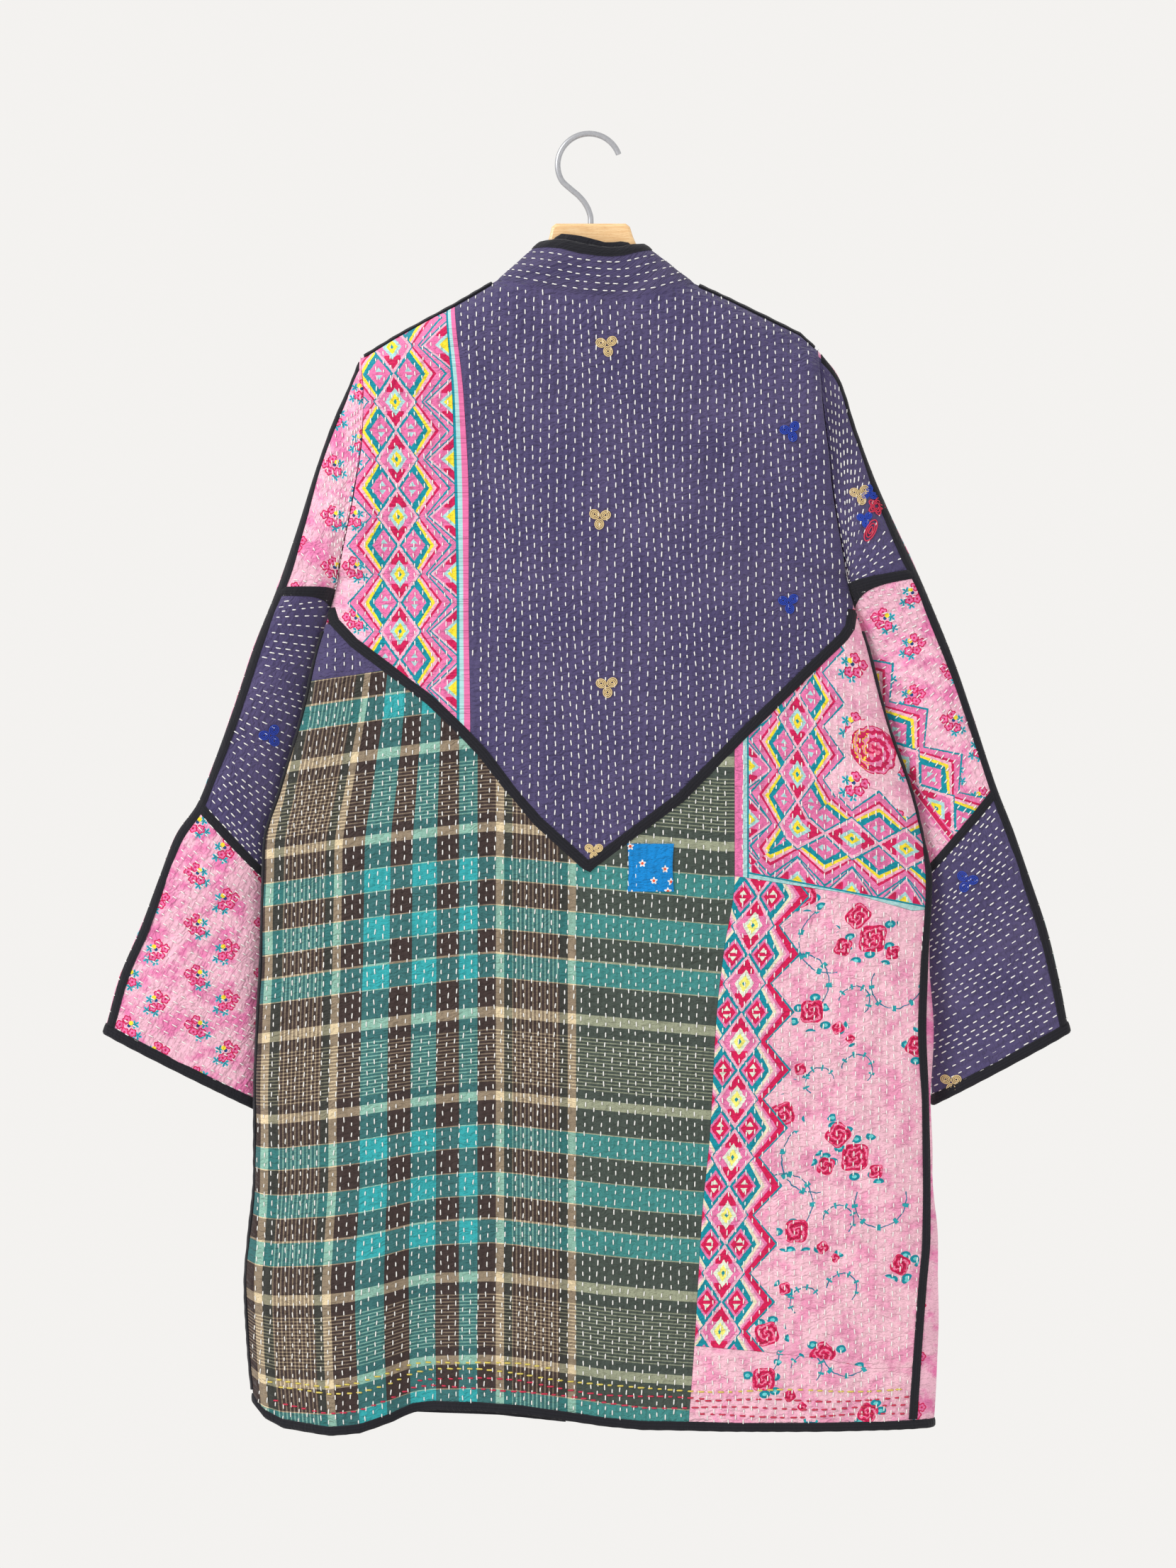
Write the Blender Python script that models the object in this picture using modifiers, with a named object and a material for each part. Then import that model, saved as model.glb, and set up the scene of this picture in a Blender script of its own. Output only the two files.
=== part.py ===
"""A quilted patchwork coat that hangs with its back to -Y on a wooden hanger.

Lengths are in millimetres and become metres when a mesh is made. The origin is
inside the top of the hook, where it hangs. X runs to the right as the back of
the coat is seen, Y runs away from the viewer and Z runs up. Heights below the
hook are negative.
"""

import bisect
import math
from collections import namedtuple

import bmesh
import bpy
import numpy as np

MM = 0.001
COLLECTION = "quilted_coat"

# Cloth and sewing
WALL = 2.5
SEAM_GAP = 0.3
QUILT_RIDGE = 0.9
QUILT_FADE = 11.0
BINDING_THICK = 1.3
BINDING_CLEAR = 0.45
BINDING_WIDTH = 8.5
TOP_BINDING_SHARE = 0.9
SIDE_BINDING_WIDTH = 7.5
SIDE_BINDING_CLEAR = (0.9, 1.7)
SIDE_BINDING_TOP = -419.0
HEM_BINDING_WIDTH = 6.5
SHOULDER_BINDING_WIDTH = 11.0
SHOULDER_BINDING_CELLS = 9
SHOULDER_BINDING_ENDS = (3, 4)
YOKE_BINDING_CELL = 14
BINDING_CROWN = 0.5

# How far the cloth rounds over at the shoulder line, and how an armhole's
# fullness fades into the body
SHOULDER_ROUND = 28.0
SHOULDER_SLOPE_COS = 0.87
ARMHOLE_DEPTH = 20.0
ARMHOLE_FADE = 110.0
ARMHOLE_GAP = 1.0
SQUARE_ABOVE = -230.0
ROUND_BELOW = -300.0

# Hanger
WOOD_THICK = 13.0
WOOD_BEVEL = 2.5
ARM_SEAT_GAP = 1.9
ARM_END = 160.0
HOOK_RADIUS = 26.6
HOOK_WIRE = 4.9
HOOK_TIP_ANGLE = 20
HOOK_SHANK_ANGLE = 204
HOOK_STEPS = 18
HOOK_STEM_X = 1.4
SOCKET_RADIUS = 2.9
SOCKET_BOTTOM = -92.0
SOCKET_CUT_HEIGHT = 40

# Body outline: height, left edge, right edge and right side seam. Down to the
# underarm the edges are the folds where the yoke turns into the sleeves.
Edge = namedtuple("Edge", "z left right seam")
EDGES = [
    Edge(-110, -193, 193.5, 193.5),
    Edge(-187.5, -193, 193.5, 193.5),
    Edge(-219, -190, 196, 196),
    Edge(-254, -191, 200, 200),
    Edge(-303, -198, 205.5, 205.5),
    Edge(-351, -208, 214, 214),
    Edge(-396, -218, 224, 224),
    Edge(-434, -230, 236.5, 236.5),
    Edge(-494, -244, 252, 252),
    Edge(-554, -262, 273, 273),
    Edge(-600, -275, 284, 284),
    Edge(-630, -276, 290, 287.5),
    Edge(-697, -278, 288, 283.5),
    Edge(-754, -281, 292, 281),
    Edge(-820, -283, 289, 284),
    Edge(-876, -283, 291, 285),
    Edge(-931, -288, 295, 284.5),
    Edge(-971, -291, 296, 281),
    Edge(-1023, -288.5, 295, 277),
    Edge(-1067, -284.5, 293, 274),
    Edge(-1095, -281, 291.5, 272),
]

# Lines that run down the back: the strip's two edges, the neck's two corners,
# the middle and the seam between the check and the prints
Line = namedtuple("Line", "z strip_left strip_right neck_left middle neck_right prints")
LINES = [
    Line(-110, -122, -115, -78, 5, 89, 118),
    Line(-144, -121, -113.5, -78, 5, 89, 118),
    Line(-226, -114.6, -105, -78, 4, 89, 119),
    Line(-315, -112.6, -101, -78, 3, 88, 120),
    Line(-400, -111, -101, -78, 2, 88, 121),
    Line(-503, -111, -99.6, -78, 0, 87, 122),
    Line(-626, -111, -99.6, -78, -1, 84, 122),
    Line(-688, -111, -99.6, -78, -1, 80, 113),
    Line(-740, -111, -99.6, -78, -1, 76, 107),
    Line(-844, -111, -99.6, -78, -1, 72, 101),
    Line(-904, -111, -99.6, -78, -1, 68, 95),
    Line(-1013, -111, -99.6, -78, -1, 64, 88.5),
    Line(-1095, -111, -99.6, -78, -1, 60, 82.6),
]

# How far the back and the fronts stand from the middle plane
Depth = namedtuple("Depth", "z back front")
DEPTHS = [
    Depth(-75, 28, 26),
    Depth(-187, 30, 26),
    Depth(-396, 33, 26),
    Depth(-617, 36, 26),
    Depth(-820, 38, 27),
    Depth(-1095, 40, 28),
]

# Rows that run across, each as points of its line
Point = namedtuple("Point", "x z")
SHOULDER_LINE = [
    Point(-193, -187.5), Point(-161, -168), Point(-113, -142),
    Point(-78, -121.5), Point(5, -76), Point(89, -124),
    Point(118, -137.5), Point(152, -154), Point(178, -167), Point(193.5, -181),
]
COLLAR_SEAM = [
    Point(-78, -121.5), Point(-56, -127.4), Point(-35, -132), Point(-10, -136.5),
    Point(13, -138.3), Point(36, -139), Point(59, -135.3), Point(82, -127.4),
    Point(89, -124),
]
FRONT_NECK = [
    Point(-78, -121.5), Point(-74.5, -125.5), Point(-68, -145), Point(-58, -162),
    Point(-38, -178), Point(-9, -188), Point(19, -188), Point(48, -178),
    Point(68, -162), Point(79, -145), Point(85.5, -128), Point(89, -124),
]
YOKE_POINT = [
    Point(-218, -396), Point(-215, -411), Point(-198, -429), Point(-170, -450),
    Point(-149, -466), Point(-133, -478), Point(-107, -503), Point(-89, -522),
    Point(-66, -552), Point(-43, -579), Point(-1, -617), Point(77, -559),
    Point(125, -510), Point(185, -452), Point(214, -424.5), Point(220, -416),
    Point(224, -396),
]
PRINT_SEAM = [
    Point(-276, -655), Point(0, -652), Point(60, -640), Point(122, -625),
    Point(172, -633), Point(224, -641), Point(273, -655), Point(289, -654),
]
HEM_SEAM = [
    Point(-288, -1015), Point(0, -1012), Point(95, -1019), Point(151, -1024),
    Point(197, -1030), Point(237, -1039), Point(294, -1040),
]
HEM = [
    Point(-284, -1070), Point(-274, -1081.5), Point(-258, -1089), Point(-217, -1093),
    Point(-192, -1090.5), Point(-166, -1082.5), Point(-148, -1075), Point(-129, -1072),
    Point(-93, -1071), Point(-56, -1073), Point(-21, -1078.5), Point(13, -1084),
    Point(46, -1087.5), Point(114, -1089), Point(292, -1090.5),
]
CORNER_SEAM = [Point(-236, -461), Point(-196, -456), Point(-166, -451)]
CORNER_TOP = -413.0
CORNER_ROWS = 6
CORNER_COLS = 5

# Rows between those lines, as fractions of the way from each to the next
YOKE_ROWS = [0, .012, .04, .09, .17, .27, .38, .5, .61, .71, .80, .885, 1]
UNDERARM_ROW = 11
UPPER_ROWS = [.2, .4, .6, .8, 1]
LOWER_ROWS = [1 / 7, 2 / 7, 3 / 7, 4 / 7, 5 / 7, 6 / 7, 1]
HEM_ROWS = [.5, 1]
YOKE_ROW = len(YOKE_ROWS) - 1
PRINT_ROW = YOKE_ROW + len(UPPER_ROWS)
HEM_SEAM_ROW = PRINT_ROW + len(LOWER_ROWS)
HEM_ROW = HEM_SEAM_ROW + len(HEM_ROWS)

# Cells across the back between the lines that run down it
BACK_CELLS = [10, 1, 2, 6, 6, 2, 10]
BACK_KEYS = [sum(BACK_CELLS[:n]) for n in range(len(BACK_CELLS) + 1)]
STRIP_LEFT, STRIP_RIGHT, NECK_LEFT, MIDDLE, NECK_RIGHT, PRINTS, BACK_END = BACK_KEYS[1:]
EDGE_CROWDING = 1.35
SETTLING_STEPS = 18
SETTLING_SHARE = 0.8
FRONT_SIDE_WEIGHTS = [0, .13, .25, .45, .7, 1]
FRONT_NECK_STEPS = [.05, .33, .66, 1]

# The fronts' free edges, at the neck and at the hem, and their rows' heights
FRONT_EDGE_LEFT = (-9, -20)
FRONT_EDGE_RIGHT = (19, 30)
FRONT_EDGE_HEIGHTS = (-188, -396, -650, -1025, -1091)

# Large folds of the back: from, to, width and height (a trough is negative)
Fold = namedtuple("Fold", "x0 z0 x1 z1 width height")
FOLDS = [
    Fold(-205, -640, -222, -1100, 44, 13),
    Fold(-112, -700, -150, -1100, 26, -15),
    Fold(-40, -760, -60, -1100, 40, 6),
    Fold(60, -720, 70, -1100, 45, -4),
    Fold(190, -740, 215, -1100, 40, 5),
    Fold(-150, -230, -170, -400, 30, -4),
    Fold(150, -210, 165, -400, 30, -3),
]

# Sleeves: outer point and inner height of each station. The inner point lies on
# the body's edge, moved in by the tuck, and hangs behind it.
Station = namedtuple("Station", "x z inner_z")
LEFT_SLEEVE = [
    Station(-193, -187.5, -372), Station(-202, -210, -374.5),
    Station(-215, -239, -377), Station(-229, -277.5, -379.5),
    Station(-247, -334, -382), Station(-265, -386, -384.5),
    Station(-283, -431, -440), Station(-299, -479, -505),
    Station(-315, -524, -570), Station(-331, -564, -630.5),
    Station(-349, -590, -655), Station(-364, -628, -690),
    Station(-380, -671, -730), Station(-396, -708, -775),
    Station(-410, -758, -826),
]
RIGHT_SLEEVE = [
    Station(193.5, -181, -371.3), Station(211, -205, -373),
    Station(224, -244, -374.5), Station(240, -287, -376),
    Station(259, -330, -377.5), Station(278, -370, -379),
    Station(293, -405, -435), Station(309, -445, -500),
    Station(325, -492, -565), Station(345, -552, -626),
    Station(358, -585, -655), Station(372, -625, -690),
    Station(386, -667, -730), Station(397, -711, -775),
    Station(406, -757, -820),
]
Tuck = namedtuple("Tuck", "z left right behind")
TUCKS = [
    Tuck(-365, 0, 0, 0), Tuck(-372, 0, 0, 0), Tuck(-384.5, -2.5, -2.5, 2),
    Tuck(-400, -2.5, -2.5, 8), Tuck(-412, -2.5, -2.5, 12), Tuck(-425, -1.5, -1.5, 15),
    Tuck(-450, 2, 2, 18), Tuck(-490, 5, 5, 19.5), Tuck(-630, 5, 5, 19.5),
    Tuck(-760, 5, 0, 19), Tuck(-830, 5, -3, 18),
]
SLEEVE_DEPTHS = (20, 18.5, 17, 15)
UPPER_SEAM = 5
LOWER_SEAM = 9
STATIONS_PER_CELL = (1, 3, 3)
SLEEVE_BACK_CELLS = 6
SLEEVE_FRONT_CELLS = 6
SEAM_FROM_TOP = 5.5
SEAM_BAND_END = 0.9

# Collar: height of its band, and the top of its binding across the back
COLLAR_TOP = [
    Point(-48, -95), Point(-35, -95.5), Point(-24, -97), Point(-9, -101.4),
    Point(7, -103.7), Point(19, -104.2), Point(29, -103), Point(40, -99.5),
    Point(53, -96),
]
COLLAR_RIDGE_LIFT = 8.0
COLLAR_TOP_LEFT = -48
COLLAR_TOP_RIGHT = 53
COLLAR_TOP_DEPTH = (-25, 22)
COLLAR_FRONT_TOP = -146
COLLAR_FRONT_X = (-6, 16)
COLLAR_FRONT_POWER = 0.6
INNER_EDGE_TOP = [
    Point(-38, -86.5), Point(-32, -83.7), Point(-21, -85), Point(-9, -86.7),
    Point(7, -89.7), Point(19, -92), Point(28, -91.5), Point(36, -90.3),
    Point(44, -91),
]
COLLAR_BINDING_THICK = 3.7
COLLAR_BINDING_OUT = 0.7
INNER_EDGE_CLEAR = 0.4
INNER_EDGE_THICK = 1.8
INNER_EDGE_FOOT = 1.0

# The hook's lower part, from the end of its round down into the wood
HOOK_SWAN = [
    Point(-22.5, -38), Point(-15.5, -44.5), Point(-8.5, -50.5), Point(-3.2, -57),
    Point(-.2, -63), Point(HOOK_STEM_X, -70), Point(HOOK_STEM_X, -78),
    Point(HOOK_STEM_X, SOCKET_BOTTOM + SEAM_GAP),
]

# The small patch under the yoke's point
PATCH_LEFT, PATCH_RIGHT = 32, 71
PATCH_TOP, PATCH_BOTTOM = -600, -638
PATCH_CELLS = 4

Colour = namedtuple("Colour", "red green blue rough metal")
COLOURS = {
    "navy": Colour(.078, .065, .15, .85, 0),
    "diamond": Colour(.62, .12, .30, .85, 0),
    "check": Colour(.08, .16, .17, .85, 0),
    "pink": Colour(.75, .28, .42, .85, 0),
    "blue": Colour(.02, .25, .65, .85, 0),
    "binding": Colour(.014, .014, .02, .8, 0),
    "wood": Colour(.72, .46, .24, .45, 0),
    "wire": Colour(.55, .55, .56, .3, 1),
}
SLEEVE_COLOURS = {
    "sleeve_left": ("pink", "navy", "pink"),
    "sleeve_right": ("navy", "diamond", "navy"),
}


def smooth_through(xs, ys):
    """A function for the curve through the points, which never swings past them."""
    if xs[0] > xs[-1]:
        xs, ys = xs[::-1], ys[::-1]
    rise = [(b - a) / (d - c) for a, b, c, d in zip(ys, ys[1:], xs, xs[1:])]
    slopes = [rise[0]]
    for before, after in zip(rise, rise[1:]):
        turns = before * after <= 0
        slopes.append(0.0 if turns else 2 * before * after / (before + after))
    slopes.append(rise[-1])

    def value(x):
        x = min(max(x, xs[0]), xs[-1])
        n = min(bisect.bisect_right(xs, x), len(xs) - 1)
        step = xs[n] - xs[n - 1]
        t = (x - xs[n - 1]) / step
        return (
            ys[n - 1] * (1 + 2 * t) * (1 - t) ** 2
            + step * slopes[n - 1] * t * (1 - t) ** 2
            + ys[n] * t * t * (3 - 2 * t)
            + step * slopes[n] * t * t * (t - 1)
        )

    return value


def columns_of(table):
    """A function of the height for each column of a table."""
    heights = [row.z for row in table]
    names = [name for name in table[0]._fields if name != "z"]
    return {n: smooth_through(heights, [getattr(row, n) for row in table]) for n in names}


def straight_through(points):
    """A function for the height of a line that runs across, straight between points."""
    xs, zs = [p.x for p in points], [p.z for p in points]
    return lambda x: float(np.interp(x, xs, zs))


EDGE = columns_of(EDGES)
LINE = columns_of(LINES)
DEPTH = columns_of(DEPTHS)
TUCK = columns_of(TUCKS)
shoulder_height = straight_through(SHOULDER_LINE)
collar_seam_height = straight_through(COLLAR_SEAM)
front_neck_height = straight_through(FRONT_NECK)
collar_top_height = straight_through(COLLAR_TOP)
inner_edge_height = straight_through(INNER_EDGE_TOP)


def body_edges(z):
    return EDGE["left"](z), EDGE["right"](z)


def across(x, z):
    """How far x lies from the left edge to the right edge, from 0 to 1."""
    left, right = body_edges(z)
    return (x - left) / (right - left)


def turn_of(fraction):
    """The angle round the body of a fraction of its width, on the back."""
    return math.acos(min(max(1 - 2 * fraction, -1), 1))


def fold_height(x, z):
    total = 0.0
    for fold in FOLDS:
        along = (z - fold.z0) / (fold.z1 - fold.z0)
        if along <= 0:
            continue
        ramp = min(along, 1)
        ramp = ramp * ramp * (3 - 2 * ramp)
        centre = fold.x0 + (fold.x1 - fold.x0) * along
        total += fold.height * ramp * math.exp(-(((x - centre) / fold.width) ** 2))
    return total


def armhole_depth(z, top, bottom):
    """Half the depth of an armhole at a height. It closes at both ends."""
    part = min(max((top - z) / (top - bottom), 0), 1)
    return ARMHOLE_DEPTH * 2 * math.sqrt(part * (1 - part))


ARMHOLE_TOPS = (LEFT_SLEEVE[0].z, RIGHT_SLEEVE[0].z)
ARMHOLE_BOTTOMS = (LEFT_SLEEVE[0].inner_z, RIGHT_SLEEVE[0].inner_z)


def body_depth(x, z, turn, on_front):
    """How far the cloth stands from the middle plane."""
    left, right = body_edges(z)
    below = (shoulder_height(x) - z) * SHOULDER_SLOPE_COS
    part = min(max(below / SHOULDER_ROUND, 0), 1)
    shoulder = math.sqrt(1 - (1 - part) ** 2)
    full = DEPTH["front" if on_front else "back"](z)
    side = abs(math.sin(turn))
    rounding = min(max((SQUARE_ABOVE - z) / (SQUARE_ABOVE - ROUND_BELOW), 0), 1)
    depth = shoulder * full * side ** (.5 + .5 * rounding)
    for distance, top, bottom in zip(
        (x - left, right - x), ARMHOLE_TOPS, ARMHOLE_BOTTOMS
    ):
        fade = max(1 - max(distance, 0) / ARMHOLE_FADE, 0) ** 2
        depth += armhole_depth(z, top, bottom) * fade
    if not on_front:
        depth += fold_height(x, z) * side
    return depth


def body_point(turn, z, on_front):
    """A point of the body. The turn is 0 at the left edge, pi at the right one."""
    left, right = body_edges(z)
    x = left + (right - left) * (1 - math.cos(turn)) / 2
    depth = body_depth(x, z, turn, on_front)
    return np.array([x, depth if on_front else -depth, z])


def unit(vector):
    return vector / max(float(np.linalg.norm(vector)), 1e-9)


def body_normal(turn, z, on_front):
    """The outward direction, from small steps round and down the body."""
    small_turn, small_drop = 0.004, 0.6
    if not on_front:
        turn = min(max(turn, small_turn), math.pi - small_turn)
    elif turn < 1:
        turn = min(turn, -small_turn)
    else:
        turn = max(turn, math.pi + small_turn)
    round_it = body_point(turn + small_turn, z, on_front)
    round_it = round_it - body_point(turn - small_turn, z, on_front)
    down_it = body_point(turn, z - small_drop, on_front)
    down_it = down_it - body_point(turn, z + small_drop, on_front)
    return unit(np.cross(down_it, round_it))


class Block:
    """A grid of points on the cloth, with the outward direction at each."""

    def __init__(self, points, normals):
        self.points = np.array(points, dtype=float)
        self.normals = np.array(normals, dtype=float)

    def part(self, rows, cols):
        return Block(self.points[rows, cols], self.normals[rows, cols])

    def moved_out(self, distance):
        return Block(self.points + self.normals * distance, self.normals)


def key_fractions(z):
    """Where the lines that run down the back lie across it, at a height."""
    names = ("strip_left", "strip_right", "neck_left", "middle", "neck_right", "prints")
    inner = [across(LINE[name](z), z) for name in names]
    return [0.0] + inner + [across(EDGE["seam"](z), z)]


def back_fraction(col, z):
    """Where a column of the back lies across it, at a height."""
    keys = key_fractions(z)
    piece = 0
    while col > BACK_KEYS[piece + 1]:
        piece += 1
    part = (col - BACK_KEYS[piece]) / BACK_CELLS[piece]
    if piece == 0:
        part = part ** EDGE_CROWDING
    if piece == len(BACK_CELLS) - 1:
        part = 1 - (1 - part) ** EDGE_CROWDING
    return keys[piece] + (keys[piece + 1] - keys[piece]) * part


def as_fractions(points):
    """A line's points with their places across the body in place of x."""
    return sorted(Point(across(p.x, p.z), p.z) for p in points)


YOKE_LINE = as_fractions(YOKE_POINT)
CORNER_LINE = as_fractions(CORNER_SEAM)
yoke_line_height = straight_through(YOKE_LINE)
print_seam_height = straight_through(as_fractions(PRINT_SEAM))
hem_seam_height = straight_through(as_fractions(HEM_SEAM))
hem_height = straight_through(as_fractions(HEM))
corner_seam_height = straight_through(CORNER_LINE)


def back_top(x):
    if COLLAR_SEAM[0].x < x < COLLAR_SEAM[-1].x:
        return collar_seam_height(x)
    return shoulder_height(x)


def front_top(x):
    if FRONT_NECK[0].x < x < FRONT_NECK[-1].x:
        return front_neck_height(x)
    return shoulder_height(x)


def between(row, heights):
    """A row's height from the heights of the five lines above and below it."""
    starts = (0, YOKE_ROW, PRINT_ROW, HEM_SEAM_ROW)
    parts = (YOKE_ROWS[1:], UPPER_ROWS, LOWER_ROWS, HEM_ROWS)
    if row == 0:
        return heights[0]
    for start, rows, high, low in zip(starts, parts, heights, heights[1:]):
        if row - start <= len(rows):
            return high + (low - high) * rows[row - start - 1]
    return heights[-1]


def back_height(row, fraction, x, upper=None):
    heights = (
        back_top(x),
        yoke_line_height(fraction),
        print_seam_height(fraction),
        hem_seam_height(fraction),
        hem_height(fraction),
    )
    if upper is not None and YOKE_ROW <= row < PRINT_ROW:
        high = min(heights[1], upper(fraction))
        part = ([0] + UPPER_ROWS)[row - YOKE_ROW]
        return high + (heights[2] - high) * part
    return between(row, heights)


def back_node(row, col, upper=None):
    """The turn and height at which a row and a column of the back cross."""
    z = -300.0 if row <= YOKE_ROW else -800.0
    for _ in range(SETTLING_STEPS):
        fraction = back_fraction(col, z)
        left, right = body_edges(z)
        aim = back_height(row, fraction, left + (right - left) * fraction, upper)
        z += SETTLING_SHARE * (aim - z)
    return turn_of(back_fraction(col, z)), z


def flat_if_edge(normal, is_edge):
    if is_edge:
        normal = unit(np.array([normal[0], 0.0, normal[2]]))
    return normal


def back_block(upper=None):
    points, normals = [], []
    for row in range(HEM_ROW + 1):
        points.append([])
        normals.append([])
        for col in range(BACK_END + 1):
            turn, z = back_node(row, col, upper)
            at_edge = col in (0, BACK_END) and turn in (0.0, math.pi)
            on_ridge = row == 0 and not NECK_LEFT < col < NECK_RIGHT
            points[-1].append(body_point(turn, z, False))
            normal = body_normal(turn, z, False)
            normals[-1].append(flat_if_edge(normal, at_edge or on_ridge))
    return Block(points, normals)


def front_block(back, lower_back, on_right):
    """One front, from its side seam round to its free edge."""
    side_col = BACK_END if on_right else 0
    neck_name = "neck_right" if on_right else "neck_left"
    edge = FRONT_EDGE_RIGHT if on_right else FRONT_EDGE_LEFT
    weights = FRONT_SIDE_WEIGHTS
    cols = len(weights) + len(FRONT_NECK_STEPS)
    points, normals = [], []
    for row in range(HEM_ROW + 1):
        points.append([])
        normals.append([])
        side_z = (back if row < YOKE_ROW else lower_back).points[row, side_col, 2]
        for col in range(cols):
            z = side_z
            for _ in range(SETTLING_STEPS):
                seam = turn_of(across(EDGE["seam"](z), z)) if on_right else 0.0
                if row <= UNDERARM_ROW:
                    seam = math.pi if on_right else 0.0
                drop = (z - FRONT_EDGE_HEIGHTS[0]) / (HEM[-1].z - FRONT_EDGE_HEIGHTS[0])
                edge_x = edge[0] + (edge[1] - edge[0]) * min(max(drop, 0), 1)
                neck = turn_of(across(LINE[neck_name](z), z))
                free = turn_of(across(edge_x, z))
                neck, free = (2 * math.pi - neck, 2 * math.pi - free) if on_right else (-neck, -free)
                if col < len(weights):
                    turn = seam + (neck - seam) * weights[col]
                    part = weights[col] * .7
                else:
                    step = FRONT_NECK_STEPS[col - len(weights)]
                    turn = neck + (free - neck) * step
                    part = .7 + .3 * step
                if row <= YOKE_ROW:
                    left, right = body_edges(z)
                    x = left + (right - left) * (1 - math.cos(turn)) / 2
                    low = lower_back.points[YOKE_ROW, side_col, 2]
                    low += (FRONT_EDGE_HEIGHTS[1] - low) * part
                    aim = front_top(x) + (low - front_top(x)) * YOKE_ROWS[row]
                else:
                    aim = side_z + (between(row, FRONT_EDGE_HEIGHTS) - side_z) * part
                z += SETTLING_SHARE * (aim - z)
            on_front = not (on_right and turn < math.pi - 1e-6)
            at_edge = col == 0 and (not on_right or turn == math.pi)
            on_ridge = row == 0 and col < len(weights)
            points[-1].append(body_point(turn, z, on_front))
            normal = body_normal(turn, z, on_front)
            normals[-1].append(flat_if_edge(normal, at_edge or on_ridge))
    block = Block(points, normals)
    if on_right:
        return block
    return block.part(slice(None), slice(None, None, -1))


def station_curves(stations):
    numbers = list(range(len(stations)))
    return {
        n: smooth_through(numbers, [getattr(s, n) for s in stations]) for n in Station._fields
    }


LEFT_CURVES = station_curves(LEFT_SLEEVE)
RIGHT_CURVES = station_curves(RIGHT_SLEEVE)


def sleeve_lines(stations, on_right, place):
    """Outer and inner points, setback and half depth at a place along a sleeve."""
    curves = RIGHT_CURVES if on_right else LEFT_CURVES
    outer = [curves["x"](place), curves["z"](place)]
    inner_z = curves["inner_z"](place)
    edge = EDGE["right" if on_right else "left"](inner_z)
    tuck = TUCK["right" if on_right else "left"](inner_z)
    inner_x = edge - tuck if on_right else edge + tuck
    behind = TUCK["behind"](inner_z)
    keys = (0, UPPER_SEAM, LOWER_SEAM, len(stations) - 1)
    depth = float(np.interp(place, keys, SLEEVE_DEPTHS))
    return np.array(outer), np.array([inner_x, inner_z]), behind, depth


def sleeve_point(stations, on_right, place, angle):
    """A point of a sleeve. The angle is 0 at its outer line, pi at its inner one."""
    outer, inner, behind, depth = sleeve_lines(stations, on_right, place)
    part = (1 - math.cos(angle)) / 2
    flat = outer + (inner - outer) * part
    near_armhole = max(1 - place / (UPPER_SEAM - 1), 0)
    if near_armhole > 0:
        top = np.array([stations[0].x, stations[0].z])
        low_z = stations[0].inner_z
        low = np.array([EDGE["right" if on_right else "left"](low_z), low_z])
        straight = top + (low - top) * part
        curved = EDGE["right" if on_right else "left"](straight[1])
        flat = flat + np.array([(curved - straight[0]) * near_armhole, 0])
    y = -depth * math.sin(angle) + behind * part
    gap = ARMHOLE_GAP if on_right else -ARMHOLE_GAP
    return np.array([flat[0] + gap, y, flat[1]])


def sleeve_places():
    """Places of the sleeve's rings, and the ring numbers of its two seams."""
    keys = (0, UPPER_SEAM, LOWER_SEAM, len(LEFT_SLEEVE) - 1)
    places, seams = [0.0], []
    for start, stop, each in zip(keys, keys[1:], STATIONS_PER_CELL):
        cells = (stop - start) * each
        places += [start + (stop - start) * (n + 1) / cells for n in range(cells)]
        seams.append(len(places) - 1)
    return places, seams[0], seams[1]


def sleeve_angles(stations, on_right, place):
    """Angles round a ring: outer line, top seam, the back, inner line, the front."""
    outer, inner, _, _ = sleeve_lines(stations, on_right, place)
    half = float(np.linalg.norm(outer - inner)) / 2
    seam = math.acos(1 - min(SEAM_FROM_TOP / half, 1))
    back = [
        seam + (math.pi - seam) * n / SLEEVE_BACK_CELLS for n in range(SLEEVE_BACK_CELLS + 1)
    ]
    front = [
        math.pi + math.pi * (n + 1) / SLEEVE_FRONT_CELLS for n in range(SLEEVE_FRONT_CELLS - 1)
    ]
    return [0.0] + back + front


def sleeve_block(stations, on_right):
    places, _, _ = sleeve_places()
    last = places[-1]
    turn_sign = -1 if on_right else 1
    points, normals = [], []
    for place in places:
        points.append([])
        normals.append([])
        for angle in sleeve_angles(stations, on_right, place):
            points[-1].append(sleeve_point(stations, on_right, place, angle))
            low, high = max(place - .05, 0), min(place + .05, last)
            along = sleeve_point(stations, on_right, high, angle)
            along = along - sleeve_point(stations, on_right, low, angle)
            round_it = sleeve_point(stations, on_right, place, angle + .01)
            round_it = round_it - sleeve_point(stations, on_right, place, angle - .01)
            normals[-1].append(unit(np.cross(along, round_it) * turn_sign))
    return Block(points, normals)


def grid_normals(points):
    """Outward directions of a grid whose columns run round the neck."""
    down = np.gradient(points, axis=0)
    round_it = np.gradient(points, axis=1)
    normals = np.cross(down, round_it)
    return normals / np.linalg.norm(normals, axis=2, keepdims=True)


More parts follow.
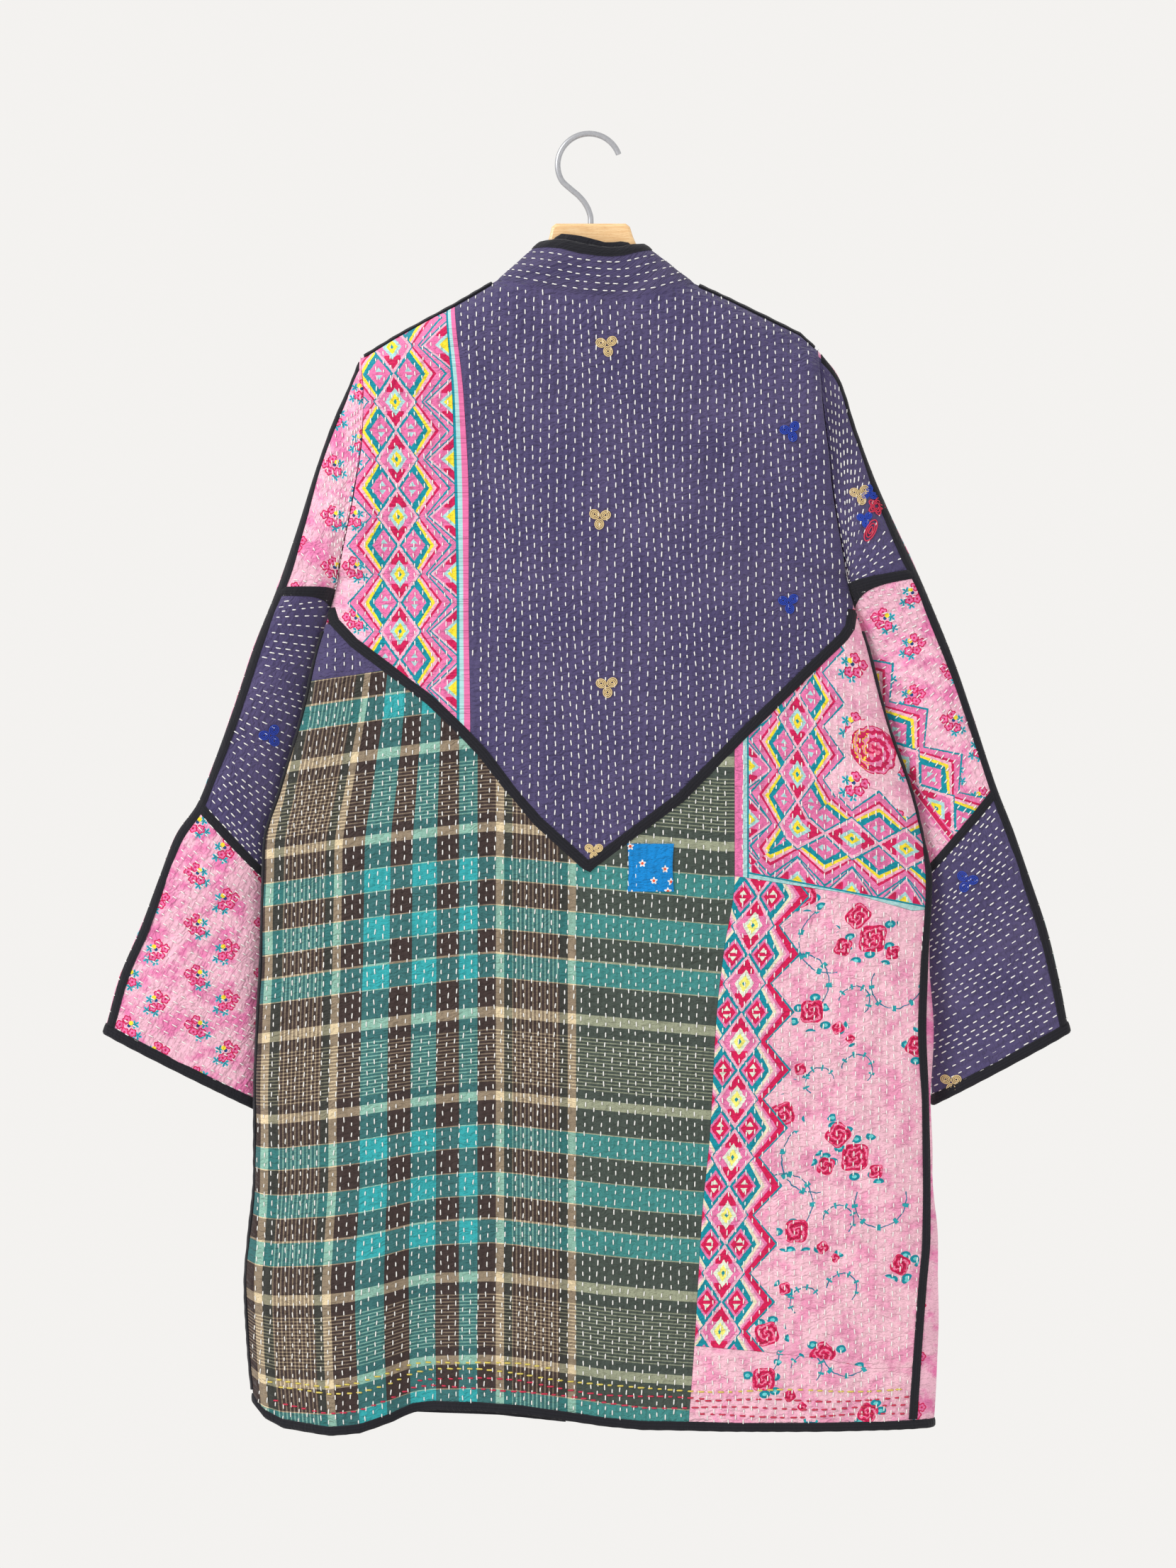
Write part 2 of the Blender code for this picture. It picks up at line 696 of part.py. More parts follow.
def collar_top(x, on_front, part):
    """The collar band's top over a point of its seam. part runs from side to edge."""
    if on_front:
        on_right = x > (COLLAR_TOP_LEFT + COLLAR_TOP_RIGHT) / 2
        side = COLLAR_TOP_RIGHT if on_right else COLLAR_TOP_LEFT
        edge = COLLAR_FRONT_X[1] if on_right else COLLAR_FRONT_X[0]
        side_z = COLLAR_TOP[-1].z if on_right else COLLAR_TOP[0].z
        drop = part * part * (3 - 2 * part)
        angle = part ** COLLAR_FRONT_POWER * math.pi / 2
        top_x = side + (edge - side) * (1 - math.cos(angle))
        y = COLLAR_TOP_DEPTH[1] * math.sin(angle)
        return np.array([top_x, y, side_z + (COLLAR_FRONT_TOP - side_z) * drop])
    share = (x - COLLAR_SEAM[0].x) / (COLLAR_SEAM[-1].x - COLLAR_SEAM[0].x)
    top_x = COLLAR_TOP_LEFT + (COLLAR_TOP_RIGHT - COLLAR_TOP_LEFT) * share
    y = COLLAR_TOP_DEPTH[0] * math.sqrt(max(1 - (2 * share - 1) ** 2, 0))
    return np.array([top_x, y, collar_top_height(top_x)])


def collar_rows(back, left_front, right_front):
    """The collar's seam points and top points, from free edge to free edge."""
    n = len(FRONT_NECK_STEPS)
    seam, top = [], []
    for step in range(n):
        seam.append(left_front.points[0, step])
        top.append(collar_top(seam[-1][0], True, FRONT_NECK_STEPS[n - 1 - step]))
    for col in range(NECK_LEFT, NECK_RIGHT + 1):
        seam.append(back.points[0, col])
        top.append(collar_top(seam[-1][0], False, 0))
    for step in range(n):
        seam.append(right_front.points[0, -n + step])
        top.append(collar_top(seam[-1][0], True, FRONT_NECK_STEPS[step]))
    return np.array(seam), np.array(top)


def collar_block(back, left_front, right_front):
    """The collar, which shares its seam's outward directions with the body."""
    seam, top = collar_rows(back, left_front, right_front)
    rows = [seam + (top - seam) * part for part in (0, .33, .67, 1)]
    normals = grid_normals(np.array(rows[::-1]))[::-1]
    block = Block(rows, normals)
    n = len(FRONT_NECK_STEPS)
    for col in range(len(seam)):
        if col < n:
            owners = [(left_front, col)]
        elif col <= n + NECK_RIGHT - NECK_LEFT:
            owners = [(back, NECK_LEFT + col - n)]
            if col == n:
                owners.append((left_front, n))
            if col == n + NECK_RIGHT - NECK_LEFT:
                owners.append((right_front, len(FRONT_SIDE_WEIGHTS) - 1))
        else:
            owners = [(right_front, right_front.points.shape[1] - len(seam) + col)]
        shared = block.normals[0, col] + owners[0][0].normals[0, owners[0][1]]
        if len(owners) > 1:
            shared[1] = 0.0
        block.normals[0, col] = unit(shared)
        for owner, owner_col in owners:
            owner.normals[0, owner_col] = unit(shared)
    return block


def material(name):
    made = bpy.data.materials.get(name)
    if made:
        return made
    colour = COLOURS[name]
    made = bpy.data.materials.new(name)
    made.use_nodes = True
    shader = made.node_tree.nodes["Principled BSDF"]
    shader.inputs["Base Color"].default_value = (colour.red, colour.green, colour.blue, 1)
    shader.inputs["Roughness"].default_value = colour.rough
    shader.inputs["Metallic"].default_value = colour.metal
    return made


def add_object(name, data, colour):
    made = bpy.data.objects.new(name, data)
    made.data.materials.append(material(colour))
    bpy.data.collections[COLLECTION].objects.link(made)
    return made


def quilting(block, along_rows=False, closed=False):
    """Heights of a panel's ridges, down its columns or across its rows. They fade
    out before each of its seams."""
    points = block.points
    rows, cols = points.shape[:2]
    heights = np.zeros((rows, cols))
    for row in range(1, rows - 1):
        for col in range(0 if closed else 1, cols if closed else cols - 1):
            here = points[row, col]
            ends = [points[0, col], points[-1, col]]
            if closed:
                ends.append(points[row, 1])
            else:
                ends += [points[row, 0], points[row, -1]]
            clear = min(np.linalg.norm(here - end) for end in ends)
            odd = (row if along_rows else col) % 2 == 1
            heights[row, col] = QUILT_RIDGE if odd and clear > QUILT_FADE else 0
    return heights


def pulled_in(points, gap, closed):
    """A grid whose borders are moved inwards, which leaves the gap of a seam."""
    moved = points.copy()
    moved[0] += gap * directions(points[1] - points[0])
    moved[-1] += gap * directions(points[-2] - points[-1])
    if not closed:
        moved[:, 0] += gap * directions(points[:, 1] - points[:, 0])
        moved[:, -1] += gap * directions(points[:, -2] - points[:, -1])
    return moved


def directions(vectors):
    return vectors / np.maximum(np.linalg.norm(vectors, axis=-1, keepdims=True), 1e-9)


def wall(name, block, colour, thick=WALL, relief=None, closed=False, gap=SEAM_GAP / 2):
    """A wall of cloth on a grid: its outer points carry the relief, its inner ones don't."""
    rows, cols = block.points.shape[:2]
    points = pulled_in(block.points, gap, closed)
    heights = np.zeros((rows, cols)) if relief is None else relief
    outer = points + block.normals * heights[:, :, None]
    inner = points - block.normals * thick
    vertices = np.concatenate([outer.reshape(-1, 3), inner.reshape(-1, 3)]) * MM
    count = rows * cols
    last = cols if closed else cols - 1
    faces = []
    for row in range(rows - 1):
        for col in range(last):
            near, far = row * cols + col, row * cols + (col + 1) % cols
            faces.append((near, far, far + cols, near + cols))
            faces.append((near + count, near + cols + count, far + cols + count, far + count))
    for col in range(last):
        far = (col + 1) % cols
        faces.append((col, col + count, far + count, far))
        low, low_far = (rows - 1) * cols + col, (rows - 1) * cols + far
        faces.append((low, low_far, low_far + count, low + count))
    if not closed:
        for row in range(rows - 1):
            for col, first in ((0, True), (cols - 1, False)):
                high, low = row * cols + col, (row + 1) * cols + col
                side = (high, low, low + count, high + count)
                faces.append(side if first else side[::-1])
    mesh = bpy.data.meshes.new(name)
    mesh.from_pydata([tuple(v) for v in vertices], [], faces)
    shaped = bmesh.new()
    shaped.from_mesh(mesh)
    bmesh.ops.recalc_face_normals(shaped, faces=shaped.faces)
    shaped.to_mesh(mesh)
    shaped.free()
    mesh.shade_smooth()
    mesh.set_sharp_from_angle(angle=math.radians(40))
    return add_object(name, mesh, colour)


def band(name, block, clear=BINDING_CLEAR, closed=False, colour="binding"):
    """A binding of three rows of points, lifted clear of the cloth and crowned."""
    relief = np.zeros(block.points.shape[:2])
    relief[1] = BINDING_CROWN
    lifted = block.moved_out(clear + BINDING_THICK)
    return wall(name, lifted, colour, BINDING_THICK, relief, closed, gap=0)


def toward(centre, other, width):
    """Points at a width from a line's points, on the way to the next line's."""
    step = other.points - centre.points
    share = width / np.maximum(np.linalg.norm(step, axis=-1), 1e-9)
    points = centre.points + step * share[:, None]
    normals = directions(
        centre.normals * (1 - share)[:, None] + other.normals * share[:, None]
    )
    return Block(points, normals)


def stack(*lines):
    return Block([line.points for line in lines], [line.normals for line in lines])


def joined(*blocks):
    points = np.concatenate([b.points for b in blocks], axis=1)
    normals = np.concatenate([b.normals for b in blocks], axis=1)
    return Block(points, normals)


def row_line(block, row, cols=slice(None)):
    return block.part(row, cols)


def col_line(block, col, rows=slice(None)):
    return block.part(rows, col)


def make_back(back, corner_back):
    every = slice(None)
    yoke, below = slice(0, YOKE_ROW + 1), slice(YOKE_ROW, HEM_ROW + 1)
    pieces = (
        ("yoke_diamond", back, yoke, slice(0, STRIP_LEFT + 1), "diamond"),
        ("yoke_strip", back, yoke, slice(STRIP_LEFT, STRIP_RIGHT + 1), "pink"),
        ("yoke_navy", back, yoke, slice(STRIP_RIGHT, BACK_END + 1), "navy"),
        ("back_check", corner_back, below, slice(0, PRINTS + 1), "check"),
        ("back_upper_print", back, slice(YOKE_ROW, PRINT_ROW + 1),
         slice(PRINTS, BACK_END + 1), "diamond"),
        ("back_lower_print", back, slice(PRINT_ROW, HEM_SEAM_ROW + 1),
         slice(PRINTS, BACK_END + 1), "pink"),
        ("back_hem_strip", back, slice(HEM_SEAM_ROW, HEM_ROW + 1),
         slice(PRINTS, BACK_END + 1), "pink"),
    )
    for name, block, rows, cols, colour in pieces:
        piece = block.part(rows, every).part(every, cols)
        wall(name, piece, colour, relief=quilting(piece))


def corner_top(fraction):
    """The check's top where the navy corner lies above it."""
    if fraction <= CORNER_LINE[-1].x:
        return corner_seam_height(fraction)
    return 0.0


def make_corner():
    """The navy corner between the yoke's point, the left edge and the check."""
    points, normals = [], []
    bottom_z = corner_seam_height(0)
    for row in range(CORNER_ROWS):
        points.append([])
        normals.append([])
        part = row / (CORNER_ROWS - 1)
        for col in range(CORNER_COLS):
            z = CORNER_TOP + (bottom_z - CORNER_TOP) * part
            for _ in range(SETTLING_STEPS):
                inner = yoke_fraction(z)
                fraction = inner * (col / (CORNER_COLS - 1)) ** EDGE_CROWDING
                low = corner_seam_height(fraction)
                aim = CORNER_TOP + (low - CORNER_TOP) * part
                z += SETTLING_SHARE * (aim - z)
            turn = turn_of(fraction)
            points[-1].append(body_point(turn, z, False))
            normals[-1].append(flat_if_edge(body_normal(turn, z, False), col == 0))
    wall("back_corner", Block(points, normals), "navy")


def yoke_fraction(z):
    """Where the yoke's left slope lies across the body, at a height."""
    slope = [p for p in YOKE_LINE if p.x < .5]
    return float(np.interp(-z, [-p.z for p in slope], [p.x for p in slope]))


def make_patch():
    points, normals = [], []
    for row in range(PATCH_CELLS + 1):
        z = PATCH_TOP + (PATCH_BOTTOM - PATCH_TOP) * row / PATCH_CELLS
        turns = [
            turn_of(across(PATCH_LEFT + (PATCH_RIGHT - PATCH_LEFT) * n / PATCH_CELLS, z))
            for n in range(PATCH_CELLS + 1)
        ]
        points.append([body_point(turn, z, False) for turn in turns])
        normals.append([body_normal(turn, z, False) for turn in turns])
    lifted = Block(points, normals).moved_out(QUILT_RIDGE + BINDING_CLEAR + BINDING_THICK)
    wall("blue_patch", lifted, "blue", BINDING_THICK, gap=0)


def make_fronts(left_front, right_front):
    upper, lower = slice(0, YOKE_ROW + 1), slice(YOKE_ROW, HEM_ROW + 1)
    pieces = (
        ("front_left_upper", left_front, upper, "diamond"),
        ("front_left_lower", left_front, lower, "check"),
        ("front_right_upper", right_front, upper, "navy"),
        ("front_right_lower", right_front, lower, "pink"),
    )
    for name, block, rows, colour in pieces:
        piece = block.part(rows, slice(None))
        wall(name, piece, colour, relief=quilting(piece))


def make_sleeve(name, block):
    _, upper, lower = sleeve_places()
    cuff = block.points.shape[0] - 1
    parts = (("upper", 0, upper), ("middle", upper, lower), ("lower", lower, cuff))
    for (part, start, stop), colour in zip(parts, SLEEVE_COLOURS[name]):
        piece = block.part(slice(start, stop + 1), slice(None))
        relief = quilting(piece, along_rows=True, closed=True)
        wall(f"{name}_{part}", piece, colour, relief=relief, closed=True)
    make_sleeve_bands(name, block, upper, lower, cuff)


def make_sleeve_bands(name, block, upper, lower, cuff):
    half = BINDING_WIDTH / 2
    cols = slice(2, SLEEVE_BACK_CELLS + 1)
    for seam, label in ((upper, "upper"), (lower, "lower")):
        centre = row_line(block, seam, cols)
        above = toward(centre, row_line(block, seam - 1, cols), half)
        below = toward(centre, row_line(block, seam + 1, cols), half)
        band(f"{name}_{label}_binding", stack(above, centre, below))
    edge = row_line(block, cuff)
    inward = row_line(block, cuff - 1)
    band(
        f"{name}_cuff_binding",
        stack(edge, toward(edge, inward, half), toward(edge, inward, 2 * half)),
        closed=True,
    )
    rows = slice(1, cuff)
    centre = col_line(block, 1, rows)
    outer = toward(centre, col_line(block, 0, rows), half * TOP_BINDING_SHARE)
    inner = toward(centre, col_line(block, 2, rows), half * TOP_BINDING_SHARE)
    band(f"{name}_top_binding", stack(outer, centre, inner))


def make_yoke_binding():
    """The black binding along the yoke's point, mitred at its tip."""
    path = [np.array(p) for p in YOKE_POINT[1:-1]]
    fine = []
    for here, there in zip(path, path[1:]):
        cells = max(int(round(np.linalg.norm(there - here) / YOKE_BINDING_CELL)), 1)
        fine += [here + (there - here) * n / cells for n in range(cells)]
    fine.append(path[-1])
    rows = [[], [], []]
    for n, here in enumerate(fine):
        before = unit(here - fine[max(n - 1, 0)])
        after = unit(fine[min(n + 1, len(fine) - 1)] - here)
        if n == 0:
            before = after
        if n == len(fine) - 1:
            after = before
        mean = unit(before + after)
        side = np.array([-mean[1], mean[0]])
        reach = BINDING_WIDTH / 2 / max(float(np.dot(mean, after)), .5)
        for row, sign in zip(rows, (1, 0, -1)):
            row.append(here + side * reach * sign)
    points = [[body_at(x, z) for x, z in row] for row in rows]
    block = Block([[p for p, _ in row] for row in points], [[n for _, n in row] for row in points])
    band("yoke_binding", block, clear=BINDING_CLEAR + .2)


def body_at(x, z):
    turn = turn_of(min(max(across(x, z), 0), 1))
    return body_point(turn, z, False), body_normal(turn, z, False)


def at_height(line, row, z):
    """A line's point at a height between one row and the next."""
    here, there = line.points[row], line.points[row + 1]
    share = (here[2] - z) / (here[2] - there[2])
    normal = line.normals[row] * (1 - share) + line.normals[row + 1] * share
    return here + (there - here) * share, unit(normal)


def make_side_band(name, lines, middle, first_row, hem_z, clear):
    """A binding that runs down a side seam, from the yoke to the hem's binding. The
    lines run down the cloth in front of the seam, along it and behind it."""
    half = SIDE_BINDING_WIDTH / 2
    lines = [toward(middle, lines[0], half), middle, toward(middle, lines[1], half)]
    stop = hem_z + HEM_BINDING_WIDTH + 1.5
    rows = []
    for line in lines:
        ends = [at_height(line, first_row, SIDE_BINDING_TOP), at_height(line, HEM_ROW - 1, stop)]
        inner = slice(first_row + 1, HEM_ROW)
        points = [ends[0][0], *line.points[inner], ends[1][0]]
        normals = [ends[0][1], *line.normals[inner], ends[1][1]]
        rows.append(Block(points, normals))
    band(name, stack(*rows), clear=clear)


def make_body_bands(back, corner_back, left_front, right_front):
    half = SIDE_BINDING_WIDTH / 2
    ring = joined(
        left_front.part(slice(None), slice(0, -1)),
        back,
        right_front.part(slice(None), slice(1, None)),
    )
    edge = row_line(ring, HEM_ROW)
    above = row_line(ring, HEM_ROW - 1)
    band("hem_binding", stack(
        edge,
        toward(edge, above, HEM_BINDING_WIDTH / 2),
        toward(edge, above, HEM_BINDING_WIDTH),
    ))
    left_lines = col_line(left_front, -2), col_line(corner_back, 1)
    make_side_band(
        "side_binding_left", left_lines, col_line(left_front, -1), UNDERARM_ROW,
        hem_height(0), SIDE_BINDING_CLEAR[0],
    )
    right_lines = col_line(back, -2), col_line(right_front, 1)
    make_side_band(
        "side_binding_right", right_lines, col_line(back, -1), YOKE_ROW,
        hem_height(1), SIDE_BINDING_CLEAR[1],
    )
    for name, block, col, inner in (
        ("front_binding_left", left_front, 0, 1),
        ("front_binding_right", right_front, -1, -2),
    ):
        rows = slice(1, HEM_ROW)
        centre = col_line(block, col, rows)
        inward = col_line(block, inner, rows)
        band(name, stack(centre, toward(centre, inward, half), toward(centre, inward, 2 * half)))


def make_shoulder_bands():
    """Bindings that lie over the shoulder seams, from the armholes to the collar."""
    half = SHOULDER_BINDING_WIDTH / 2
    at_sleeve, at_neck = SHOULDER_BINDING_ENDS
    for name, start, stop in (
        ("shoulder_binding_left", SHOULDER_LINE[0].x + at_sleeve, COLLAR_SEAM[0].x - at_neck),
        ("shoulder_binding_right", COLLAR_SEAM[-1].x + at_neck, SHOULDER_LINE[-1].x - at_sleeve),
    ):
        rows = [[], [], []]
        for n in range(SHOULDER_BINDING_CELLS + 1):
            x = start + (stop - start) * n / SHOULDER_BINDING_CELLS
            z = shoulder_height(x)
            turn = turn_of(across(x, z))
            ridge_normal = flat_if_edge(body_normal(turn, z, False), True)
            ridge = body_point(turn, z, False)
            rows[1].append((ridge, ridge_normal))
            for row, on_front in ((rows[0], False), (rows[2], True)):
                drop = .2
                while np.linalg.norm(body_point(turn, z - drop, on_front) - ridge) < half:
                    drop += .05
                point = body_point(turn, z - drop, on_front)
                row.append((point, body_normal(turn, z - drop, on_front)))
        block = Block([[p for p, _ in row] for row in rows], [[n for _, n in row] for row in rows])
        band(name, block, clear=BINDING_CLEAR + .3)


def make_collar(block):
    wall("collar", block, "navy", relief=quilting(block, along_rows=True))
    top = block.points[-1]
    up = directions(block.points[-1] - block.points[-2])
    out = block.normals[-1]
    rows = [top + up * (SEAM_GAP + lift * COLLAR_RIDGE_LIFT) for lift in (0, .5, 1)]
    binding = Block(rows, [out] * 3).moved_out(COLLAR_BINDING_OUT)
    relief = np.zeros(binding.points.shape[:2])
    relief[1] = BINDING_CROWN
    wall("collar_binding", binding, "binding", COLLAR_BINDING_THICK, relief, gap=0)
    make_inner_edge(block, up)


def make_inner_edge(block, up):
    """The inner edge of the binding, which stands up behind it at the back."""
    n = len(FRONT_NECK_STEPS)
    cols = slice(n + 1, n + NECK_RIGHT - NECK_LEFT)
    top, out, up = block.points[-1, cols], block.normals[-1, cols], up[cols]
    start = top - out * (COLLAR_BINDING_THICK - COLLAR_BINDING_OUT + INNER_EDGE_CLEAR)
    aim = np.array([inner_edge_height(x) for x in start[:, 0]])
    rise = (aim - start[:, 2]) / up[:, 2]
    rows = [start + up * INNER_EDGE_FOOT, start + up * rise[:, None]]
    wall("collar_inner_edge", Block(rows, [out] * 2), "binding", INNER_EDGE_THICK, gap=0)


def hanger_outline():
    """The wood's outline, from the left arm's end over the crown to the right one's."""
    drop = (WALL + ARM_SEAT_GAP) / SHOULDER_SLOPE_COS
    top = [(x, shoulder_height(x) - drop) for x in (-ARM_END, -137, -113, -95, -86)]
    top += [(-77, -128), (-66, -126), (-56, -117), (-44, -105), (-36.5, -95), (-33.5, -85)]
    top += [(-31.5, -77), (-28, -74.2), (31, -74.2), (34.5, -77), (37, -85), (41.5, -95.5)]
    top += [(50, -107), (60, -119), (71, -128.5), (81, -132), (90, -133)]
    top += [(x, shoulder_height(x) - drop) for x in (102, 118, 135, 149, ARM_END)]
    right_end = [(ARM_END + 3.5, -167), (ARM_END + 3, -177), (ARM_END - 4, -182)]
    low = [(140, -177), (115, -166), (85, -150), (50, -133), (20, -123), (-10, -122)]
    low += [(-40, -132), (-75, -149), (-113, -170), (-140, -184)]
    left_end = [(-ARM_END + 3, -191), (-ARM_END - 3, -186), (-ARM_END - 3.5, -176)]
    return top + right_end + low + left_end


def make_hanger():
    shaped = bmesh.new()
    half = WOOD_THICK / 2
    corners = [shaped.verts.new((x * MM, -half * MM, z * MM)) for x, z in hanger_outline()]
    face = shaped.faces.new(corners)
    grown = bmesh.ops.extrude_face_region(shaped, geom=[face])
    moved = [v for v in grown["geom"] if isinstance(v, bmesh.types.BMVert)]
    bmesh.ops.translate(shaped, vec=(0, WOOD_THICK * MM, 0), verts=moved)
    bmesh.ops.recalc_face_normals(shaped, faces=shaped.faces)
    mesh = bpy.data.meshes.new("hanger_wood")
    shaped.to_mesh(mesh)
    shaped.free()
    mesh.shade_smooth()
    mesh.set_sharp_from_angle(angle=math.radians(30))
    wood = add_object("hanger_wood", mesh, "wood")
    bevel = wood.modifiers.new("rounded edges", "BEVEL")
    bevel.width = WOOD_BEVEL * MM
    bevel.segments = 2
    bevel.limit_method = "ANGLE"
    bevel.angle_limit = math.radians(60)
    cut = wood.modifiers.new("socket for the hook", "BOOLEAN")
    cut.operation = "DIFFERENCE"
    cut.solver = "EXACT"
    cut.object = make_socket_cutter()


def make_socket_cutter():
    shaped = bmesh.new()
    bmesh.ops.create_cone(
        shaped, cap_ends=True, segments=16, radius1=SOCKET_RADIUS * MM,
        radius2=SOCKET_RADIUS * MM, depth=SOCKET_CUT_HEIGHT * MM,
    )
    mesh = bpy.data.meshes.new("socket")
    shaped.to_mesh(mesh)
    shaped.free()
    cutter = bpy.data.objects.new("socket", mesh)
    cutter.location = (HOOK_STEM_X * MM, 0, (SOCKET_BOTTOM + SOCKET_CUT_HEIGHT / 2) * MM)
    cutter.hide_render = True
    cutter.display_type = "WIRE"
    bpy.data.collections["cutters"].objects.link(cutter)
    return cutter


def hook_path():
    """From the tip over the top to the left, then down an S into the wood."""
    centre_z = HOOK_WIRE / 2 - HOOK_RADIUS
    start, stop = math.radians(HOOK_TIP_ANGLE), math.radians(HOOK_SHANK_ANGLE)
    path = []
    for n in range(HOOK_STEPS + 1):
        angle = start + (stop - start) * n / HOOK_STEPS
        path.append((HOOK_RADIUS * math.cos(angle), centre_z + HOOK_RADIUS * math.sin(angle)))
    return path + [(p.x, p.z) for p in HOOK_SWAN]


def make_hook():
    curve = bpy.data.curves.new("hanger_hook", "CURVE")
    curve.dimensions = "3D"
    curve.bevel_depth = HOOK_WIRE / 2 * MM
    curve.bevel_resolution = 2
    curve.use_fill_caps = True
    path = hook_path()
    spline = curve.splines.new("POLY")
    spline.points.add(len(path) - 1)
    for point, (x, z) in zip(spline.points, path):
        point.co = (x * MM, 0, z * MM, 1)
    spline.use_smooth = True
    add_object("hanger_hook", curve, "wire")


def clear_scene():
    for item in list(bpy.data.objects):
        bpy.data.objects.remove(item, do_unlink=True)
    for name in (COLLECTION, "cutters"):
        bpy.context.scene.collection.children.link(bpy.data.collections.new(name))


def main():
    clear_scene()
    back = back_block()
    corner_back = back_block(corner_top)
    left_front = front_block(back, corner_back, False)
    right_front = front_block(back, back, True)
    collar = collar_block(back, left_front, right_front)
    make_back(back, corner_back)
    make_corner()
    make_patch()
    make_fronts(left_front, right_front)
    for name, stations, on_right in (
        ("sleeve_left", LEFT_SLEEVE, False),
        ("sleeve_right", RIGHT_SLEEVE, True),
    ):
        make_sleeve(name, sleeve_block(stations, on_right))
    make_yoke_binding()
    make_shoulder_bands()
    make_body_bands(back, corner_back, left_front, right_front)
    make_collar(collar)
    make_hanger()
    make_hook()


if __name__ == "__main__":
    main()
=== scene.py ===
"""The looks of a quilted patchwork coat that hangs with its back to -Y on a wooden hanger.

Garment sizes are in millimetres and become metres when a mesh is made. The cloth's
points are worked out from the same named sizes as the solids, so each panel lies
on its solid's form.
"""

import math
from collections import namedtuple
from functools import cache, reduce

import bpy
import numpy as np
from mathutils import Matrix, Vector


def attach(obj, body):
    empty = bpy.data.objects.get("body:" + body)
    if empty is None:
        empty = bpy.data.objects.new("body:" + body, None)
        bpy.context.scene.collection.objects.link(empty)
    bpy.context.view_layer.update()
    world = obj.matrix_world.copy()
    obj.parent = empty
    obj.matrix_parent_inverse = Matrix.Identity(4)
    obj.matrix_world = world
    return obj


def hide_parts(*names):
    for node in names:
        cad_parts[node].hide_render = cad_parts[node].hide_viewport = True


bl_info = {
    "name": "Quilted coat",
    "version": (1, 0, 0),
    "blender": (4, 5, 0),
    "location": "View3D > Sidebar > Coat",
    "description": "Builds the cloth, sewing and finish of a quilted patchwork coat",
    "category": "Object",
}

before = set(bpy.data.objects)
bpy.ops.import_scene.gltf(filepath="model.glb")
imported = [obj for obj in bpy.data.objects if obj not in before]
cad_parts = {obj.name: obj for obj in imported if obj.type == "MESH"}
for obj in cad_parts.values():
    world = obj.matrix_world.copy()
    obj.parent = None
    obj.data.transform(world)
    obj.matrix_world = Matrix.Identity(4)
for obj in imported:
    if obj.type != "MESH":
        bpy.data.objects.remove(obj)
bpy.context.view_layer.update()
MM = 0.001

SHOULDER_ROUND = 28.0
SHOULDER_SLOPE_COS = 0.87
ARMHOLE_DEPTH = 20.0
ARMHOLE_FADE = 110.0
ARMHOLE_GAP = 0.4
SQUARE_ABOVE = -230.0
ROUND_BELOW = -300.0

Edge = namedtuple("Edge", "z left right seam")
EDGES = [
    Edge(-110, -193, 193.5, 193.5), Edge(-187.5, -193, 193.5, 193.5),
    Edge(-219, -190, 196, 196), Edge(-254, -191, 200, 200),
    Edge(-303, -198, 205.5, 205.5), Edge(-351, -208, 214, 214),
    Edge(-396, -218, 224, 224), Edge(-434, -230, 236.5, 236.5),
    Edge(-494, -244, 252, 252), Edge(-554, -262, 273, 273),
    Edge(-600, -275, 284, 284), Edge(-630, -276, 290, 287.5),
    Edge(-697, -278, 288, 283.5), Edge(-754, -281, 292, 281),
    Edge(-820, -283, 289, 284), Edge(-876, -283, 291, 285),
    Edge(-931, -288, 295, 284.5), Edge(-971, -291, 296, 281),
    Edge(-1023, -288.5, 295, 277), Edge(-1067, -284.5, 293, 274),
    Edge(-1095, -281, 291.5, 272),
]
Line = namedtuple("Line", "z strip_left strip_right neck_left middle neck_right prints")
LINES = [
    Line(-110, -122, -115, -78, 5, 89, 118), Line(-144, -121, -113.5, -78, 5, 89, 118),
    Line(-226, -114.6, -105, -78, 4, 89, 119), Line(-315, -112.6, -101, -78, 3, 88, 120),
    Line(-400, -111, -101, -78, 2, 88, 121), Line(-503, -111, -99.6, -78, 0, 87, 122),
    Line(-626, -111, -99.6, -78, -1, 84, 122), Line(-688, -111, -99.6, -78, -1, 80, 113),
    Line(-740, -111, -99.6, -78, -1, 76, 107), Line(-844, -111, -99.6, -78, -1, 72, 101),
    Line(-904, -111, -99.6, -78, -1, 68, 95), Line(-1013, -111, -99.6, -78, -1, 64, 88.5),
    Line(-1095, -111, -99.6, -78, -1, 60, 82.6),
]
Depth = namedtuple("Depth", "z back front")
DEPTHS = [
    Depth(-75, 28, 26), Depth(-187, 30, 26), Depth(-396, 33, 26),
    Depth(-617, 36, 26), Depth(-820, 38, 27), Depth(-1095, 40, 28),
]
Point = namedtuple("Point", "x z")
SHOULDER_LINE = [
    Point(-193, -187.5), Point(-161, -168), Point(-113, -142), Point(-78, -121.5),
    Point(5, -76), Point(89, -124), Point(118, -137.5), Point(152, -154),
    Point(178, -167), Point(193.5, -181),
]
COLLAR_SEAM = [
    Point(-78, -121.5), Point(-56, -127.4), Point(-35, -132), Point(-10, -136.5),
    Point(13, -138.3), Point(36, -139), Point(59, -135.3), Point(82, -127.4),
    Point(89, -124),
]
FRONT_NECK = [
    Point(-78, -121.5), Point(-74.5, -125.5), Point(-68, -145), Point(-58, -162),
    Point(-38, -178), Point(-9, -188), Point(19, -188), Point(48, -178),
    Point(68, -162), Point(79, -145), Point(85.5, -128), Point(89, -124),
]
